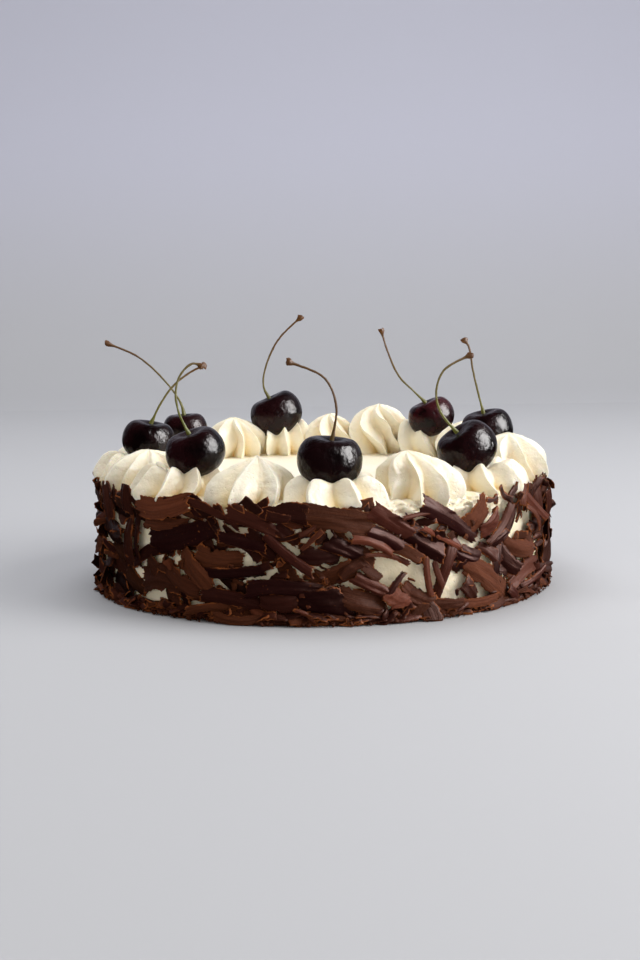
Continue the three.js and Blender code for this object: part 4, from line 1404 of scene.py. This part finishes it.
def smooth_line(points, rounds):
    """Each point but the ends moves to the mean of its neighbours, over and over."""
    for _ in range(rounds):
        inner = [(a + b) / 2 for a, b in zip(points, points[2:])]
        points = [points[0], *inner, points[-1]]
    return points


def centripetal(points, count):
    """A Catmull-Rom curve through points, its knots spaced by the root of their distance."""
    first, last = points[0] * 2 - points[1], points[-1] * 2 - points[-2]
    ends = [first, *points, last]
    curve = []
    for p0, p1, p2, p3 in zip(ends, ends[1:], ends[2:], ends[3:]):
        t1 = (p1 - p0).length ** 0.5
        t2 = t1 + (p2 - p1).length ** 0.5
        t3 = t2 + (p3 - p2).length ** 0.5
        for step in range(count):
            t = between(t1, t2, step / count)
            a = p0.lerp(p1, t / t1)
            b = p1.lerp(p2, (t - t1) / (t2 - t1))
            c = p2.lerp(p3, (t - t2) / (t3 - t2))
            before, after = a.lerp(b, t / t2), b.lerp(c, (t - t1) / (t3 - t1))
            curve.append(before.lerp(after, (t - t1) / (t2 - t1)))
    return smooth_line(curve + [points[-1]], SMOOTHING)


# %% Grow the stalks
BEND_POINTS = 16  # points of the path from one of its bends to the next
stalk_tree = stalk_rule()
for i, fruit in enumerate(CHERRIES):
    angle, reach, height, width, right, front_lean, _, green, bends = fruit
    root = polar(reach, angle, height)
    root += cherry_axis(right, front_lean) * (width * (CHERRY_HEIGHT / 2 - DIMPLE_DEPTH) + 2 * GAP)
    path = centripetal([root, *[root + Vector(bend) for bend in bends]], BEND_POINTS)
    mesh = bpy.data.meshes.new("path")
    mesh.from_pydata([p * MM for p in path], [(k, k + 1) for k in range(len(path) - 1)], [])
    piece = grow(f"bent_stalk_{i + 1}", stalk_tree, {
        "Sides": STALK_SIDES, "Green": green,
        **metres({"Radius": STALK_RADIUS, "Flare": STALK_FLARE, "Knob": STALK_KNOB})}, mesh)
    dress(piece, f"stalk_{i + 1}")

# %% [markdown]
# ## Table, backdrop, light and camera
#
# The cake stands on a pale table that runs up into a backdrop without an edge. A large soft
# window of light on the right, a little in front, gives cherries their shine and cream its
# shadows, and the room fills the rest.

# %% Table and backdrop
TABLE_FRONT, TABLE_BACK = -2.5, 0.9  # metres from the middle of the cake
BEND_RADIUS = 0.7
WALL_TOP = 3.0
SHEET_SIDE = 3.5  # how far the sheets reach to each side
TABLE_GREY = (0.45, 0.46, 0.485, 1)
WALL_GREY = (0.53, 0.545, 0.65, 1)


def sweep_points():
    """Depth and height of the backdrop's section: the table, a bend and the wall."""
    bend = [
        (TABLE_BACK + BEND_RADIUS * sin(t), BEND_RADIUS * (1 - cos(t)))
        for t in np.linspace(0.15, pi / 2, 14)]
    wall_top = (TABLE_BACK + BEND_RADIUS, WALL_TOP)
    return [(TABLE_FRONT, 0.0), (TABLE_BACK, 0.0), *bend, wall_top]


def stage_sheet(name, section):
    """A wide sheet along a section of depths and heights, just clear of the cake's base."""
    mesh = bpy.data.meshes.new(name)
    mesh.from_pydata(
        [(x, y, z - 0.0002) for y, z in section for x in (-SHEET_SIDE, SHEET_SIDE)], [],
        [(2 * i, 2 * i + 1, 2 * i + 3, 2 * i + 2) for i in range(len(section) - 1)])
    mesh.shade_smooth()
    mesh.materials.append(paper)
    sheet = add_object(name, mesh)
    return sheet


paper, start, here = new_material("pale paper")
finish_material(paper, {
    "Base Color": here.split()[2].fade(0.0, 0.35).tint(TABLE_GREY, WALL_GREY),
    "Roughness": 0.8,
})
section = sweep_points()
table = stage_sheet("table", section[:2])
table.visible_glossy = False  # the cherries' undersides stay dark
stage_sheet("backdrop", section[1:])

# %% Light
CAKE_MIDDLE = Vector((0, 0, 0.05))
ROOM_COLOUR = (0.83, 0.80, 0.77, 1)
ROOM_STRENGTH = 0.71


def soft_light(name, place, size, power, colour):
    """A rectangular lamp that faces the cake: its place and size in metres, its power in watts."""
    lamp = bpy.data.lights.new(name, "AREA")
    lamp.shape = "RECTANGLE"
    lamp.size, lamp.size_y = size
    lamp.energy = power
    lamp.color = colour
    light = add_object(name, lamp)
    light.location = place
    light.rotation_euler = (CAKE_MIDDLE - Vector(place)).to_track_quat("-Z", "Y").to_euler()
    print("light:", name, power, "W")
    return light


soft_light("window", (1.05, -0.25, 0.6), (0.75, 1.1), 11.2, (1.0, 0.985, 0.96))
shine = soft_light("shine", (1.0, -0.35, 0.6), (0.8, 1.1), 84, (1.0, 0.985, 0.98))
shine.visible_diffuse = False  # seen only as the broad soft glint of the window
ceiling = soft_light("ceiling", (-0.1, 0.30, 1.3), (1.4, 1.0), 11.6, (0.98, 0.985, 1.0))
ceiling.visible_glossy = False
world = bpy.data.worlds.new("room")
bpy.context.scene.world = world
world.use_nodes = True
background = world.node_tree.nodes["Background"].inputs
background["Color"].default_value = ROOM_COLOUR
background["Strength"].default_value = ROOM_STRENGTH
world.cycles_visibility.glossy = False
bpy.context.scene.view_settings.view_transform = "Standard"

# %% [markdown]
# The camera looks slightly down from in front with a lens of 59 mm. Its axes come from three
# angles: down, sideways and a small roll.

# %% Camera
CAMERA_PLACE = (0, -0.7447, 0.14896)
FOCAL_LENGTH = 59.25
PITCH, ROLL, YAW = radians(7.837), radians(-0.82), radians(-0.078)

lens = bpy.data.cameras.new("camera")
lens.sensor_width = 36.0
lens.lens = FOCAL_LENGTH
lens.clip_end = 20.0
camera = add_object("camera", lens)
ahead = Vector((sin(YAW) * cos(PITCH), cos(YAW) * cos(PITCH), -sin(PITCH)))
level = Vector((cos(YAW), -sin(YAW), 0))
over = level.cross(ahead)
to_right = level * cos(ROLL) + over * sin(ROLL)
upward = over * cos(ROLL) - level * sin(ROLL)
axes = Matrix((to_right, upward, -ahead)).transposed().to_4x4()
camera.matrix_world = Matrix.Translation(CAMERA_PLACE) @ axes
bpy.context.scene.camera = camera
print("camera:", FOCAL_LENGTH, "mm, at", CAMERA_PLACE)
